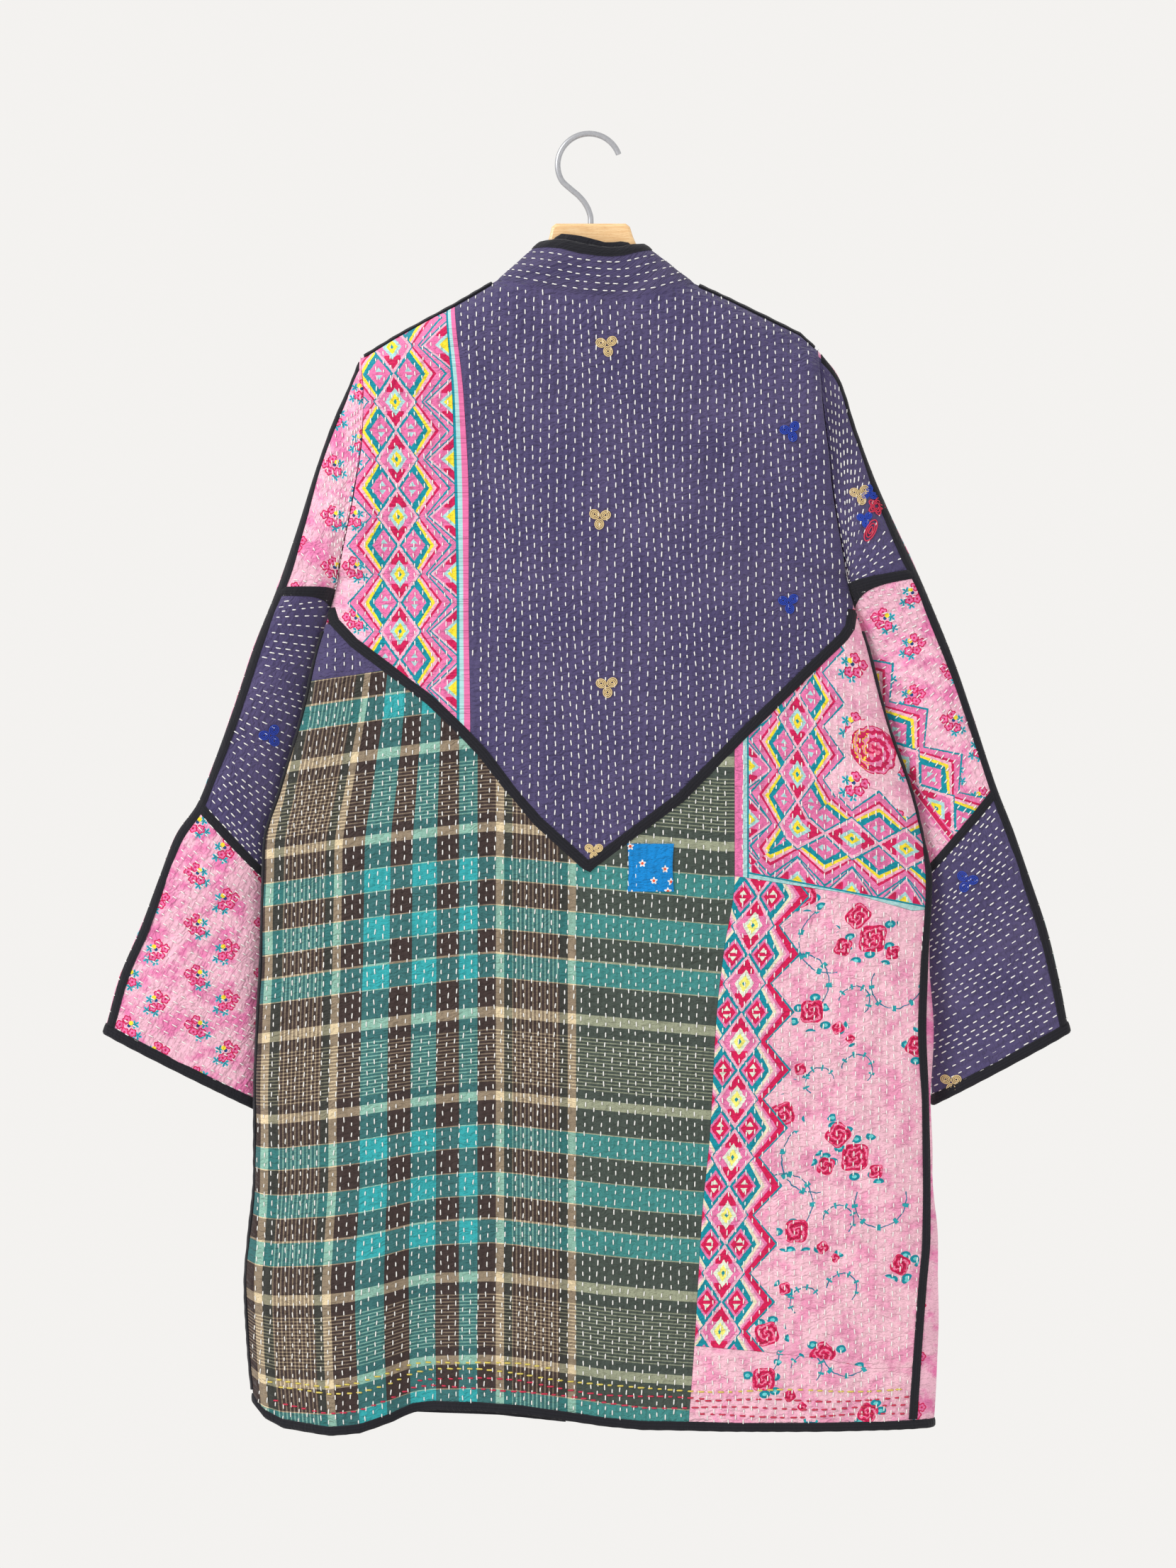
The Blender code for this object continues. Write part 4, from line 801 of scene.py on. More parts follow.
def split(tree, socket):
    """The three parts of a vector."""
    node = tree.nodes.new("ShaderNodeSeparateXYZ")
    tree.links.new(socket, node.inputs[0])
    return [Signal(tree, part) for part in node.outputs]


def blossoms(tree, x, y, scale):
    """The way to the nearest of many scattered points, and two chances of each point."""
    node = tree.nodes.new("ShaderNodeTexVoronoi")
    node.voronoi_dimensions = "2D"
    node.inputs["Scale"].default_value = scale
    node.inputs["Randomness"].default_value = 1.0
    tree.links.new(vector(tree, x, y).socket, node.inputs["Vector"])
    place_x, place_y, _ = split(tree, node.outputs["Position"])
    chance = tree.nodes.new("ShaderNodeSeparateColor")
    tree.links.new(node.outputs["Color"], chance.inputs[0])
    chances = [Signal(tree, part) for part in chance.outputs[:2]]
    return x - place_x, y - place_y, *chances


def steps_ramp(tree, value, stops):
    """Flat colours that follow each other along a value from 0 to 1."""
    node = tree.nodes.new("ShaderNodeValToRGB")
    node.color_ramp.interpolation = "CONSTANT"
    elements = node.color_ramp.elements
    while len(elements) > 1:
        elements.remove(elements[-1])
    for n, (place, colour, alpha) in enumerate(stops):
        element = elements[0] if n == 0 else elements.new(place)
        element.position = place
        element.color = shade(colour)[:3] + (alpha,)
    tree.links.new(value.socket, node.inputs[0])
    return Signal(tree, node.outputs[0]), Signal(tree, node.outputs[1])


def new_material(name):
    """A material with its node tree and its shader."""
    material = bpy.data.materials.new(name)
    material.use_nodes = True
    tree = material.node_tree
    return material, tree, tree.nodes["Principled BSDF"]


def object_place(tree):
    """Where a point lies in the object, in metres."""
    return split(tree, tree.nodes.new("ShaderNodeTexCoord").outputs["Object"])


def colour_shader(tree, shader, socket):
    """Colours are painted as a screen shows them and made linear here."""
    gamma = tree.nodes.new("ShaderNodeGamma")
    gamma.inputs["Gamma"].default_value = 2.2
    tree.links.new(socket, gamma.inputs[0])
    tree.links.new(gamma.outputs[0], shader.inputs["Base Color"])


def bump_shader(tree, shader, height, distance, strength):
    bump = tree.nodes.new("ShaderNodeBump")
    bump.inputs["Distance"].default_value = distance
    bump.inputs["Strength"].default_value = strength
    tree.links.new(height.socket, bump.inputs["Height"])
    tree.links.new(bump.outputs[0], shader.inputs["Normal"])


def cloth_material(name, paint, weave=.85, pucker=1.0, turn=0.0):
    """Cotton whose colour is painted by a formula of its own flat coordinates in
    millimetres, with weave, quilting ripples and faint wear."""
    material, tree, shader = new_material(name)
    uv = tree.nodes.new("ShaderNodeUVMap")
    uv.uv_map = "cloth"
    x, y, _ = split(tree, uv.outputs[0])
    colour = paint(tree, x, y)
    wear = noise(tree, x, y, .035, 4, .6)
    fine = noise(tree, x, y, .9, 2, .7)
    tint = (wear - .5) * .22 + (fine - .5) * .16 + 1.0
    tinted = tree.nodes.new("ShaderNodeVectorMath")
    tinted.operation = "MULTIPLY"
    tree.links.new(colour.socket, tinted.inputs[0])
    tree.links.new(vector(tree, tint, tint, tint).socket, tinted.inputs[1])
    colour_shader(tree, shader, tinted.outputs[0])
    shader.inputs["Roughness"].default_value = .86
    shader.inputs["Sheen Weight"].default_value = .12
    shader.inputs["Sheen Roughness"].default_value = .5
    shader.inputs["Specular IOR Level"].default_value = .25
    height = pucker_height(tree, x, y, turn) * pucker
    weft = (x * 7.4).sine() * (y * 7.4).sine()
    height = height + weft * (.035 * weave) + (fine - .5) * .25
    bump_shader(tree, shader, height, .001, .9)
    return material


def pucker_height(tree, x, y, turn):
    """Ripples that the running stitches pull up between their rows, which run down
    when turn is 0 degrees."""
    c, n = math.cos(math.radians(turn)), math.sin(math.radians(turn))
    u, v = x * c + y * n, y * c - x * n
    drift = noise(tree, x * .6, y * .6, .06, 2)
    row = u / row_step() + (drift - .5) * 1.6
    ridge = (row * (2 * math.pi)).sine() * .3
    wave = (v / 5.2 + row.floor() * .37 + (drift - .5) * 9) * (2 * math.pi)
    uneven = noise(tree, u * .42, v, .2, 3, .6)
    return ridge + wave.sine() * .32 + (uneven - .5) * 6.0


NAVY, NAVY_DEEP = (84, 76, 112), (66, 60, 98)
PALE, PINK, CRIMSON = (240, 178, 200), (226, 112, 164), (204, 30, 86)
TEAL, AQUA, YELLOW = (8, 140, 158), (168, 214, 214), (246, 222, 56)
CREAM, HATCH, BLUSH = (238, 226, 196), (234, 138, 182), (243, 190, 206)


def navy_paint(tree, x, y):
    cloud = noise(tree, x, y, .02, 3)
    return blend(tree, (cloud - .3) * 1.6, NAVY, NAVY_DEEP)


Stripe = namedtuple("Stripe", "end colour fine")
BROWN, SEA, BEIGE = (62, 50, 48), (52, 162, 167), (226, 206, 168)
MOSS = (52, 66, 60)
WARP = [
    Stripe(-275, BROWN, 0), Stripe(-268, BEIGE, 0), Stripe(-260, MOSS, 0),
    Stripe(-224, BROWN, 1), Stripe(-216, MOSS, 0),
    Stripe(-209, BEIGE, 0), Stripe(-190, BROWN, 0), Stripe(-169, SEA, 0),
    Stripe(-149, BROWN, 0), Stripe(-128, SEA, 0), Stripe(-110, BROWN, 0),
    Stripe(-94, SEA, 0), Stripe(-79, BROWN, 0), Stripe(-72, BEIGE, 0),
    Stripe(-65, MOSS, 0), Stripe(-25, BROWN, 1), Stripe(-19, MOSS, 0),
    Stripe(-11, BEIGE, 0), Stripe(130, (78, 108, 98), 0),
]
WEFT_REPEAT = 226.0
WEFT_START = -508.0
WEFT = [
    Stripe(8, BEIGE, 0), Stripe(17, BROWN, 0), Stripe(63, BROWN, 1), Stripe(71, BROWN, 0),
    Stripe(79, BEIGE, 0), Stripe(99, BROWN, 0), Stripe(100, BEIGE, 0), Stripe(119, SEA, 0),
    Stripe(120, BEIGE, 0), Stripe(140, BROWN, 0), Stripe(141, BEIGE, 0),
    Stripe(160, SEA, 0), Stripe(161, BEIGE, 0), Stripe(180, BROWN, 0),
    Stripe(181, BEIGE, 0), Stripe(201, SEA, 0), Stripe(202, BEIGE, 0),
    Stripe(226, BROWN, 0),
]
WARP_LEFT, WARP_RIGHT = -310.0, 130.0
LEFT_STRIPE = -216.0


def stops_of(stripes, start, stop):
    stops, here = [], start
    for stripe in stripes:
        stops.append(((here - start) / (stop - start), stripe.colour, float(stripe.fine)))
        here = stripe.end
    return stops


def check_paint(tree, x, y):
    place = (x - WARP_LEFT) / (WARP_RIGHT - WARP_LEFT)
    warp, warp_fine = steps_ramp(tree, place, stops_of(WARP, WARP_LEFT, WARP_RIGHT))
    down = ((WEFT_START - y) / WEFT_REPEAT).wrap(0.0, 1.0)
    weft, weft_fine = steps_ramp(tree, down, stops_of(WEFT, 0, WEFT_REPEAT))
    pin_x = (x / 3.4).wrap(0.0, 1.0).below(.34) * warp_fine
    pin_y = (y / 2.9).wrap(0.0, 1.0).below(.36) * weft_fine
    warp = blend(tree, pin_x * .75, warp, BEIGE)
    weft = blend(tree, pin_y * .75, weft, BEIGE)
    return blend(tree, .5, warp, weft)


def serrated(tree, x, y, amount):
    """A small unevenness, like the stepped edges of the print."""
    return (noise(tree, x, y, .42, 1) - .5) * amount


def diamond_motif(tree, x, y, ground, pitch=48.0, warm=False):
    """Diamonds in a column at x = 0, with chevrons that point away on both sides."""
    mark = serrated(tree, x, y, 3.0)
    side = x.size() + mark * .45
    tall = y.wrap(-pitch / 2, pitch / 2).size()
    off = pitch / 2 - tall
    inner = 22 - off * .55
    outer = 45 - off * .9
    chevron = (side - inner) / (outer - inner)
    centre = side / 16.5 + (tall + mark * .35) / 23.5
    small = (side - 12.5).size() / 11.5 + (off + mark * .3) / 15.5
    pink = blend(tree, waves((x + y) * 3.2) * .5, PINK, (236, 146, 186))
    light = CREAM if warm else YELLOW
    core = (226, 236, 214) if warm else AQUA
    red = (212, 28, 84) if warm else CRIMSON
    wide = red if warm else pink
    return layers(
        tree, ground,
        (chevron.band(-9, 1.0), TEAL), (chevron.band(-9, .9), wide),
        (chevron.band(-9, .60), pink if warm else red), (chevron.band(-9, .48), PALE),
        (chevron.band(-9, .34), light), (chevron.band(-9, .2), TEAL),
        (chevron.below(0.0), TEAL),
        (small.below(.86), pink), (small.below(.66), red if warm else PINK),
        (small.below(.36) * off.above(1.5), core),
        (centre.below(1.12), TEAL), (centre.below(1.04), PALE), (centre.below(.88), pink),
        (centre.below(.88) * side.below(7) * tall.above(8), red),
        (centre.below(.5), core), (centre.below(.3), (248, 240, 120) if warm else light),
        (centre.below(.1), TEAL),
    )


def half_diamonds(tree, x, y, ground, pitch=48.0):
    """Diamonds on a line at x = 0, which a seam cuts in half."""
    mark = serrated(tree, x + 31, y, 2.4)
    tall = y.wrap(-pitch / 2, pitch / 2).size()
    size = x.size() / 22 + (tall + mark * .4) / 20
    return layers(
        tree, ground,
        (size.below(1.06), TEAL), (size.below(.98), PALE), (size.below(.88), PINK),
        (size.below(.88) * tall.above(7.5) * x.size().below(9), CRIMSON),
        (size.below(.5), AQUA), (size.below(.34), YELLOW),
    )


def mottled(tree, x, y, here=(240, 184, 204), there=(228, 122, 172)):
    cloud = noise(tree, x, y, .05, 4, .62)
    return blend(tree, (cloud - .47) * 7, here, there)


POSY_PITCH = 29.0
POSY_DROP = 43.0
POSY_SIZE = .88
POSY_FLOWERS = [(-5.5, 1.5), (1.5, 6.0), (-1.0, -5.5), (6.5, -6.5)]
POSY_LEAVES = [(9.5, 1.5), (12.0, -9.0), (4.5, -11.5)]


def posy_paint(tree, x, y, ground=None):
    """Small bunches of blossoms in a half-drop repeat, every other one mirrored."""
    ground = ground or mottled(tree, x, y)
    column = (x / POSY_PITCH).floor()
    odd = (column * .5).wrap(0.0, 1.0).above(.25)
    cx = (x.wrap(0.0, POSY_PITCH) - POSY_PITCH / 2) * (1 - odd * 2) / POSY_SIZE
    cy = ((y + odd * (POSY_DROP / 2)).wrap(0.0, POSY_DROP) - POSY_DROP / 2) / POSY_SIZE
    flowers, petals, leaves = [], [], []
    for fx, fy in POSY_FLOWERS:
        dx, dy = cx - fx, cy - fy
        away = length_of(dx, dy)
        petals.append(away)
        flowers.append(away - ((dy.heading(dx) * 2.5).sine().size() * 1.1 + 3.2))
    for fx, fy in POSY_LEAVES:
        dx, dy = cx - fx, cy - fy
        edge = (dy.heading(dx) * 2.5 + fx).sine().size() * 3.4 + .9
        leaves.append(length_of(dx, dy) - edge)
    flowers, petals, leaves = (reduce(Signal.least, s) for s in (flowers, petals, leaves))
    dot = length_of(cx - 5.5, cy - 3.0)
    return layers(
        tree, ground,
        (leaves.below(0.0), (70, 180, 200)), (leaves.below(-1.2), TEAL),
        (flowers.below(.35), CRIMSON), (flowers.below(-.85), (234, 110, 164)),
        (petals.below(1.1), CRIMSON),
        (length_of(cx - 3.5, cy - .4).below(1.7), (30, 70, 120)), (dot.below(2.2), YELLOW),
    )


ROSE_REPEAT = 183.7
Rose = namedtuple("Rose", "x y size")
ROSES = [
    Rose(108, -4, 11), Rose(124, -23, 13), Rose(100, -30, 8), Rose(143, -35, 6.5),
    Rose(80, -84, 11), Rose(103, -98, 5.5), Rose(73, -132, 5.5), Rose(170, -114, 9),
    Rose(60, -170, 11), Rose(108, -187.7, 11), Rose(114, -107, 4),
]
Scroll = namedtuple("Scroll", "x y size")
SCROLLS = [
    Scroll(115, -76, 13), Scroll(90, -143, 12), Scroll(121, -133, 13),
    Scroll(92, -22, 30), Scroll(66, -62, 26), Scroll(150, -60, 22),
]


def rose_paint(tree, x, y):
    """Bunches of roses, scrolls and leaves on mottled pink."""
    down = y.wrap(-ROSE_REPEAT, 0.0)
    colour = mottled(tree, x, y, BLUSH, (234, 150, 184))
    wobble = (noise(tree, x, y, .16, 2) - .5) * 5
    for scroll in SCROLLS:
        dx, dy = x - scroll.x, down - scroll.y
        ring = (length_of(dx, dy) + wobble * .6 - scroll.size).size()
        turn = dy.heading(dx) + scroll.size
        part = turn.sine().above(-.35)
        sprig = ring.below(2.6) * (turn * 9).sine().above(.8)
        colour = layers(tree, colour, (ring.below(.5) * part, (40, 120, 150)),
                        (sprig * part, (40, 160, 170)))
    leaf_x, leaf_y, leaf_chance, _ = blossoms(tree, x, y * .8, .085)
    leaf = length_of(leaf_x, leaf_y * 1.7)
    near, swirl = None, None
    for rose in ROSES:
        dx, dy = x - rose.x, down - rose.y
        heading = dy.heading(dx)
        edge = (heading * 4 + rose.x).sine() * .09 + .93
        away = (length_of(dx, dy) + wobble * .35) / (edge * rose.size)
        petal = away * (rose.size * .62) + heading
        inside = away.below(1.15)
        swirl = petal * inside if swirl is None else swirl * (1 - inside) + petal * inside
        near = away if near is None else near.least(away)
    veins = (swirl * 1.9 + (noise(tree, x, y, .35, 2) - .5) * 7).sine()
    leaves = near.below(1.8) * leaf.below(4.6) * leaf_chance.above(.35)
    return layers(
        tree, colour,
        (leaves, TEAL), (leaves * leaf.below(2.0), (110, 208, 210)),
        (near.below(1.0), (212, 34, 88)), (near.below(.93) * veins.above(.62), (240, 130, 165)),
        (near.below(.9) * veins.below(-.8), (165, 12, 62)),
    )


def lower_print_paint(tree, x, y):
    roses = rose_paint(tree, x, y)
    return diamond_motif(tree, x - 20.5, y + 11.6, roses, pitch=48.5, warm=True)


CORNER_U, CORNER_V = 53.0, 80.0


def upper_print_paint(tree, x, y):
    """A border of diamonds at the left and along the bottom, and one large rose."""
    field = mottled(tree, x, y, (243, 192, 208), (234, 160, 190))
    field = posy_paint(tree, x * .86 + 12, y * .86 + 20, field)
    dx, dy = x - 118, y - 158
    away = length_of(dx, dy) + (noise(tree, x, y, .14, 2) - .5) * 5
    veins = (away * .9 + dy.heading(dx) * 2 + (noise(tree, x, y, .22, 2) - .5) * 8).sine()
    field = layers(
        tree, field,
        (away.below(26), BLUSH), (away.below(20), CRIMSON),
        (away.below(19) * veins.above(.05), (238, 132, 176)),
        (away.below(19) * veins.above(.05) * dx.below(-4) * veins.below(.6), YELLOW),
        (away.below(6) * veins.above(-.2), (240, 120, 150)),
    )
    bar = (x - CORNER_U) - (y - CORNER_V)
    pink = blend(tree, waves((x - y) * 3), PINK, HATCH)
    left_edge = half_diamonds(tree, x - 10, y - CORNER_V, pink, 45)
    low_edge = half_diamonds(tree, y - 33, x - CORNER_U, pink, 46)
    left_ground = blend(tree, x.below(CORNER_U), field, left_edge)
    low_ground = blend(tree, y.below(CORNER_V), field, low_edge)
    column = diamond_motif(tree, (x - CORNER_U) * 1.1, y - CORNER_V, left_ground, 45)
    row = diamond_motif(tree, y - CORNER_V, x - CORNER_U, low_ground, 46)
    return layers(
        tree, blend(tree, bar.above(0.0), column, row),
        (y.below(35.5), TEAL), (y.below(34), AQUA), (x.below(12), TEAL), (x.below(10.5), AQUA),
        (x.below(7), PINK),
    )


def yoke_print_paint(tree, x, y):
    """x is the distance from the strip: the diamonds lie next to it and posies
    beyond them."""
    posies = posy_paint(tree, x + 45, y, mottled(tree, x, y, (243, 190, 208), (234, 150, 188)))
    pink = blend(tree, waves((x - y) * 3), PINK, HATCH)
    right = half_diamonds(tree, x, y - 12.5, pink)
    ground = blend(tree, x.above(-48), posies, right)
    return diamond_motif(tree, x + 48, y - 12.5, ground)


def sleeve_print_paint(tree, x, y):
    """Posies above a slanting border of diamonds with stripes beside it."""
    across = x * .8 + y * .6 + 106.2
    down = x * .6 - y * .8 - 535.3
    ground = posy_paint(tree, x, y)
    below = layers(tree, mottled(tree, x, y), (across.above(-9), PINK), (across.above(-7), PALE),
                   (across.above(-6.3), CRIMSON), (across.above(-2.7), PINK))
    border = diamond_motif(tree, across, down, ground)
    return blend(tree, across.above(-1.5), below, border)


def strip_paint(tree, x, y):
    """Teal, aqua and pink lines, across the strip."""
    return layers(tree, TEAL, (x.above(.2), AQUA), (x.above(.55), PINK))


def black_paint(tree, x, y):
    return blend(tree, waves(x * 2.6) * .3, (28, 28, 34), (46, 46, 54))


def blue_patch_paint(tree, x, y):
    dx, dy, chance, _ = blossoms(tree, x, y, .1)
    away = length_of(dx, dy)
    petals = (dy.heading(dx) * 5).sine() * .7 + 2.5
    shown = chance.above(.35)
    return layers(
        tree, (12, 130, 205), (shown * away.below(petals), (240, 236, 235)),
        (shown * away.below(1.2), (235, 90, 60)),
    )


def hem_strip_paint(tree, x, y):
    return rose_paint(tree, x + 20, y - 60)


def wood_material():
    material, tree, shader = new_material("beech")
    x, y, z = object_place(tree)
    flow = noise(tree, x * 14, z * 160 + y * 90, 1.0, 4, .6)
    fleck = noise(tree, x * 260, z * 2600, 1.0, 1)
    rings = waves(flow * 40 + z * 900)
    colour = blend(tree, rings * .55, (240, 202, 150), (222, 172, 116))
    colour = blend(tree, fleck.above(.66) * .45, colour, (186, 130, 80))
    colour_shader(tree, shader, colour.socket)
    shader.inputs["Roughness"].default_value = .42
    shader.inputs["Coat Weight"].default_value = .15
    bump_shader(tree, shader, fleck, .0002, .4)
    return material


def metal_material():
    material, tree, shader = new_material("hook wire")
    x, y, z = object_place(tree)
    haze = noise(tree, x * 400 + y * 90, z * 400, 1.0, 3)
    colour = blend(tree, haze, (196, 197, 200), (160, 162, 168))
    colour_shader(tree, shader, colour.socket)
    plug(tree, haze * .15 + .3, shader.inputs["Roughness"])
    shader.inputs["Metallic"].default_value = .9
    return material


def thread_material(name, colour, rough=.6):
    material, tree, shader = new_material(name)
    x, y, z = object_place(tree)
    dark = tuple(part * .93 for part in colour)
    mixed = blend(tree, noise(tree, x * 60, z * 60, 1.0, 2), colour, dark)
    colour_shader(tree, shader, mixed.socket)
    shader.inputs["Roughness"].default_value = rough
    bump_shader(tree, shader, ((x * 3 + z * 5 + y * 2) * 1500).sine(), .0001, .5)
    return material


@cache
def finish_of(name):
    """Each finish is made once."""
    return FINISHES[name]()


FINISHES = {
    "navy": lambda: cloth_material("navy cotton", navy_paint),
    "navy left": lambda: cloth_material("navy cotton, left sleeve", navy_paint, turn=60),
    "navy right": lambda: cloth_material("navy cotton, right sleeve", navy_paint, turn=120),
    "navy collar": lambda: cloth_material("navy cotton, collar", navy_paint, turn=90),
    "check": lambda: cloth_material("woven check", check_paint, weave=1.6),
    "yoke print": lambda: cloth_material("diamond print", yoke_print_paint),
    "strip": lambda: cloth_material("striped edge", strip_paint),
    "posies left": lambda: cloth_material("posy print, left sleeve", posy_paint, turn=60),
    "posies right": lambda: cloth_material("posy print, right sleeve", posy_paint, turn=120),
    "posies": lambda: cloth_material("posy print", posy_paint),
    "upper print": lambda: cloth_material("diamond and rose print", upper_print_paint),
    "lower print": lambda: cloth_material("rose print", lower_print_paint),
    "hem strip": lambda: cloth_material("rose print, hem", hem_strip_paint),
    "sleeve print": lambda: cloth_material("sleeve print", sleeve_print_paint, turn=120),
    "blue": lambda: cloth_material("bright blue cotton", blue_patch_paint),
    "black": lambda: cloth_material("black binding", black_paint, pucker=.25),
    "thread": lambda: thread_material("white thread", (255, 254, 250)),
    "gold": lambda: thread_material("gold thread", (228, 200, 144), .45),
    "blue thread": lambda: thread_material("blue thread", (30, 66, 178)),
    "red thread": lambda: thread_material("red thread", (206, 48, 80)),
    "yellow thread": lambda: thread_material("yellow thread", (226, 206, 96)),
    "wood": wood_material,
    "metal": metal_material,
}


# Panels of the body

GRID = 4.5

Panel = namedtuple("Panel", "node rows cols finish corner origin slot")
PANELS = [
    Panel("yoke_diamond", (0, 1), (START, STRIP_LEFT), "yoke print", False, "strip_left",
          "diamond_print"),
    Panel("yoke_strip", (0, 1), (STRIP_LEFT, STRIP_RIGHT), "strip", False, "share",
          "pink_print"),
    Panel("yoke_navy", (0, 1), (STRIP_RIGHT, SEAM), "navy", False, "x", "navy_cloth"),
    Panel("back_check", (1, 4), (START, PRINTS), "check", True, "warp", "check_cloth"),
    Panel("back_upper_print", (1, 2), (PRINTS, SEAM), "upper print", False, "prints",
          "diamond_print"),
    Panel("back_lower_print", (2, 3), (PRINTS, SEAM), "lower print", False, "prints",
          "pink_print"),
    Panel("back_hem_strip", (3, 4), (PRINTS, SEAM), "hem strip", False, "prints",
          "pink_print"),
]
WARP_HEIGHT = -684.0
FRONT_SHARES = np.concatenate([np.linspace(0, 1, 30) ** 1.4, 1 + np.linspace(0, 1, 12)[1:]])
SIDES = ((False, "left"), (True, "right"))
WIDTHS = {0: 150, 1: 10, 2: 25, 3: 80, 4: 80, 5: 32, 6: 165}
TALLS = {0: 330, 1: 190, 2: 380, 3: 62}


def split_evenly(start, stop, sizes, step=GRID):
    """Numbers from start to stop, close enough for the step in each cell."""
    values = [float(start)]
    for cell in range(int(start), int(stop)):
        count = max(int(round(sizes[cell] / step)), 2)
        values += [cell + (n + 1) / count for n in range(count)]
    return np.array(values)


def pull_in(points, closed=False):
    """Borders moved inwards, which leaves the line of a seam."""
    moved = points.copy()
    moved[0] += SEAM_GAP * unit(points[1] - points[0])
    moved[-1] += SEAM_GAP * unit(points[-2] - points[-1])
    if not closed:
        moved[:, 0] += SEAM_GAP * unit(points[:, 1] - points[:, 0])
        moved[:, -1] += SEAM_GAP * unit(points[:, -2] - points[:, -1])
    return moved


def flat_x(panel, points, cols):
    """A panel's own sideways coordinate, for its print. The check's stripes spread with
    the panel, and beside its left pale stripe they keep their width."""
    x, z = points[..., 0], points[..., 2]
    if panel.origin == "x":
        return x
    if panel.origin == "share":
        return np.broadcast_to(cols - cols[0], x.shape)
    if panel.origin == "warp":
        level = np.full(len(cols), WARP_HEIGHT)
        share = back_fraction(cols, level)
        left, right = edges_at(level)
        flat = np.broadcast_to(left + (right - left) * share, x.shape)
        stripe = np.array([np.interp(LEFT_STRIPE, flat[0], row) for row in x])
        return np.where(flat < LEFT_STRIPE, LEFT_STRIPE + x - stripe[:, None], flat)
    return x - at_height(LINE[panel.origin], z)


def make_back_panel(panel):
    rows = split_evenly(*panel.rows, TALLS)
    cols = split_evenly(*panel.cols, WIDTHS)
    turns, z = back_grid(rows, cols, panel.corner)
    points = body_at_turn(turns, z)
    normals = grid_normals(points)
    u = flat_x(panel, points, cols)
    v = z.copy()
    if panel.node == "back_check":
        v = z - weft_sag(points[..., 0], z)
    if panel.origin == "prints":
        v = z + 655 + (.19 * u if panel.node == "back_upper_print" else 0)
    relief = held_at_edges(ripple(points[..., 0], z), points)
    made = shell(
        panel.node + "_cloth", pull_in(points), normals, np.stack([u, v], -1),
        [finish_of(panel.finish)], relief=relief, replaced=[panel.node],
    )


def weft_sag(x, z):
    """How far the check's cross lines sag below a level line."""
    part = np.clip((z + 760) / -320, 0, 1)
    left = -25 * np.clip((-80 - x) / 200, 0, 1.2) ** 1.2
    right = -17 * np.clip((x + 80) / 190, 0, 1)
    hem = np.clip(along(HEM_LINE, across(x, z)) + 1083, -10, 12)
    return (left + right) * (1 - .45 * part) + part * hem * .7


def make_corner():
    slope = [p for p in YOKE_LINE if p.x < .5]
    rows, cols = np.meshgrid(np.linspace(0, 1, 12), np.linspace(0, 1, 16), indexing="ij")
    z = CORNER_TOP + (along(CORNER_LINE, 0.0) - CORNER_TOP) * rows
    for _ in range(SETTLING_STEPS):
        inner = np.interp(-z, [-p.z for p in slope], [p.x for p in slope])
        fraction = inner * cols ** EDGE_CROWDING
        aim = CORNER_TOP + (along(CORNER_LINE, fraction) - CORNER_TOP) * rows
        z = z + SETTLING_SHARE * (aim - z)
    points = body_at_turn(turn_of(fraction), z)
    made = shell(
        "back_corner_cloth", pull_in(points), grid_normals(points),
        points[..., [0, 2]], [finish_of("navy")], replaced=["back_corner"],
    )


def make_fronts():
    for on_right, side in SIDES:
        for part, rows, finish, slot in (
            ("upper", (0, 1), "navy" if on_right else "posies",
             "navy_cloth" if on_right else "diamond_print"),
            ("lower", (1, 4), "posies" if on_right else "check",
             "pink_print" if on_right else "check_cloth"),
        ):
            rows = split_evenly(*rows, TALLS, GRID * 1.6)
            turns, z = front_grid(rows, FRONT_SHARES, on_right)
            points = body_at_turn(turns, z)
            if not on_right:
                points, z = points[:, ::-1], z[:, ::-1]
            normals = grid_normals(points)
            relief = held_at_edges(ripple(points[..., 0] + 40, z), points)
            name = f"front_{side}_{part}"
            made = shell(
                name + "_cloth", pull_in(points), normals, np.stack([points[..., 0], z], -1),
                [finish_of(finish)], relief=relief, replaced=[name],
            )


# Sleeves

SleevePiece = namedtuple("SleevePiece", "node start stop back front slot")
SLEEVE_PIECES = {
    "left": [
        SleevePiece("upper", 0, UPPER_SEAM, "posies left", "posies left", "pink_print"),
        SleevePiece("middle", UPPER_SEAM, LOWER_SEAM, "navy left", "posies left",
                    "navy_cloth"),
        SleevePiece("lower", LOWER_SEAM, CUFF, "posies left", "posies left",
                    "pink_print"),
    ],
    "right": [
        SleevePiece("upper", 0, UPPER_SEAM, "navy right", "posies right", "navy_cloth"),
        SleevePiece("middle", UPPER_SEAM, LOWER_SEAM, "sleeve print", "posies right",
                    "diamond_print"),
        SleevePiece("lower", LOWER_SEAM, CUFF, "navy right", "check", "navy_cloth"),
    ],
}
SLEEVE_BACK, SLEEVE_FRONT = 34, 30


def sleeve_grid(stations, places):
    """A ring of points for each place. It starts at the seam on the sleeve's top."""
    seam = sleeve_seam_angle(stations, places)[:, None]
    back = seam + (math.pi - seam) * np.linspace(0, 1, SLEEVE_BACK, endpoint=False)
    front = math.pi + (math.pi + seam) * np.linspace(0, 1, SLEEVE_FRONT, endpoint=False)
    angles = np.concatenate([back, front], axis=1)
    rings = places[:, None] + 0 * angles
    return rings, angles


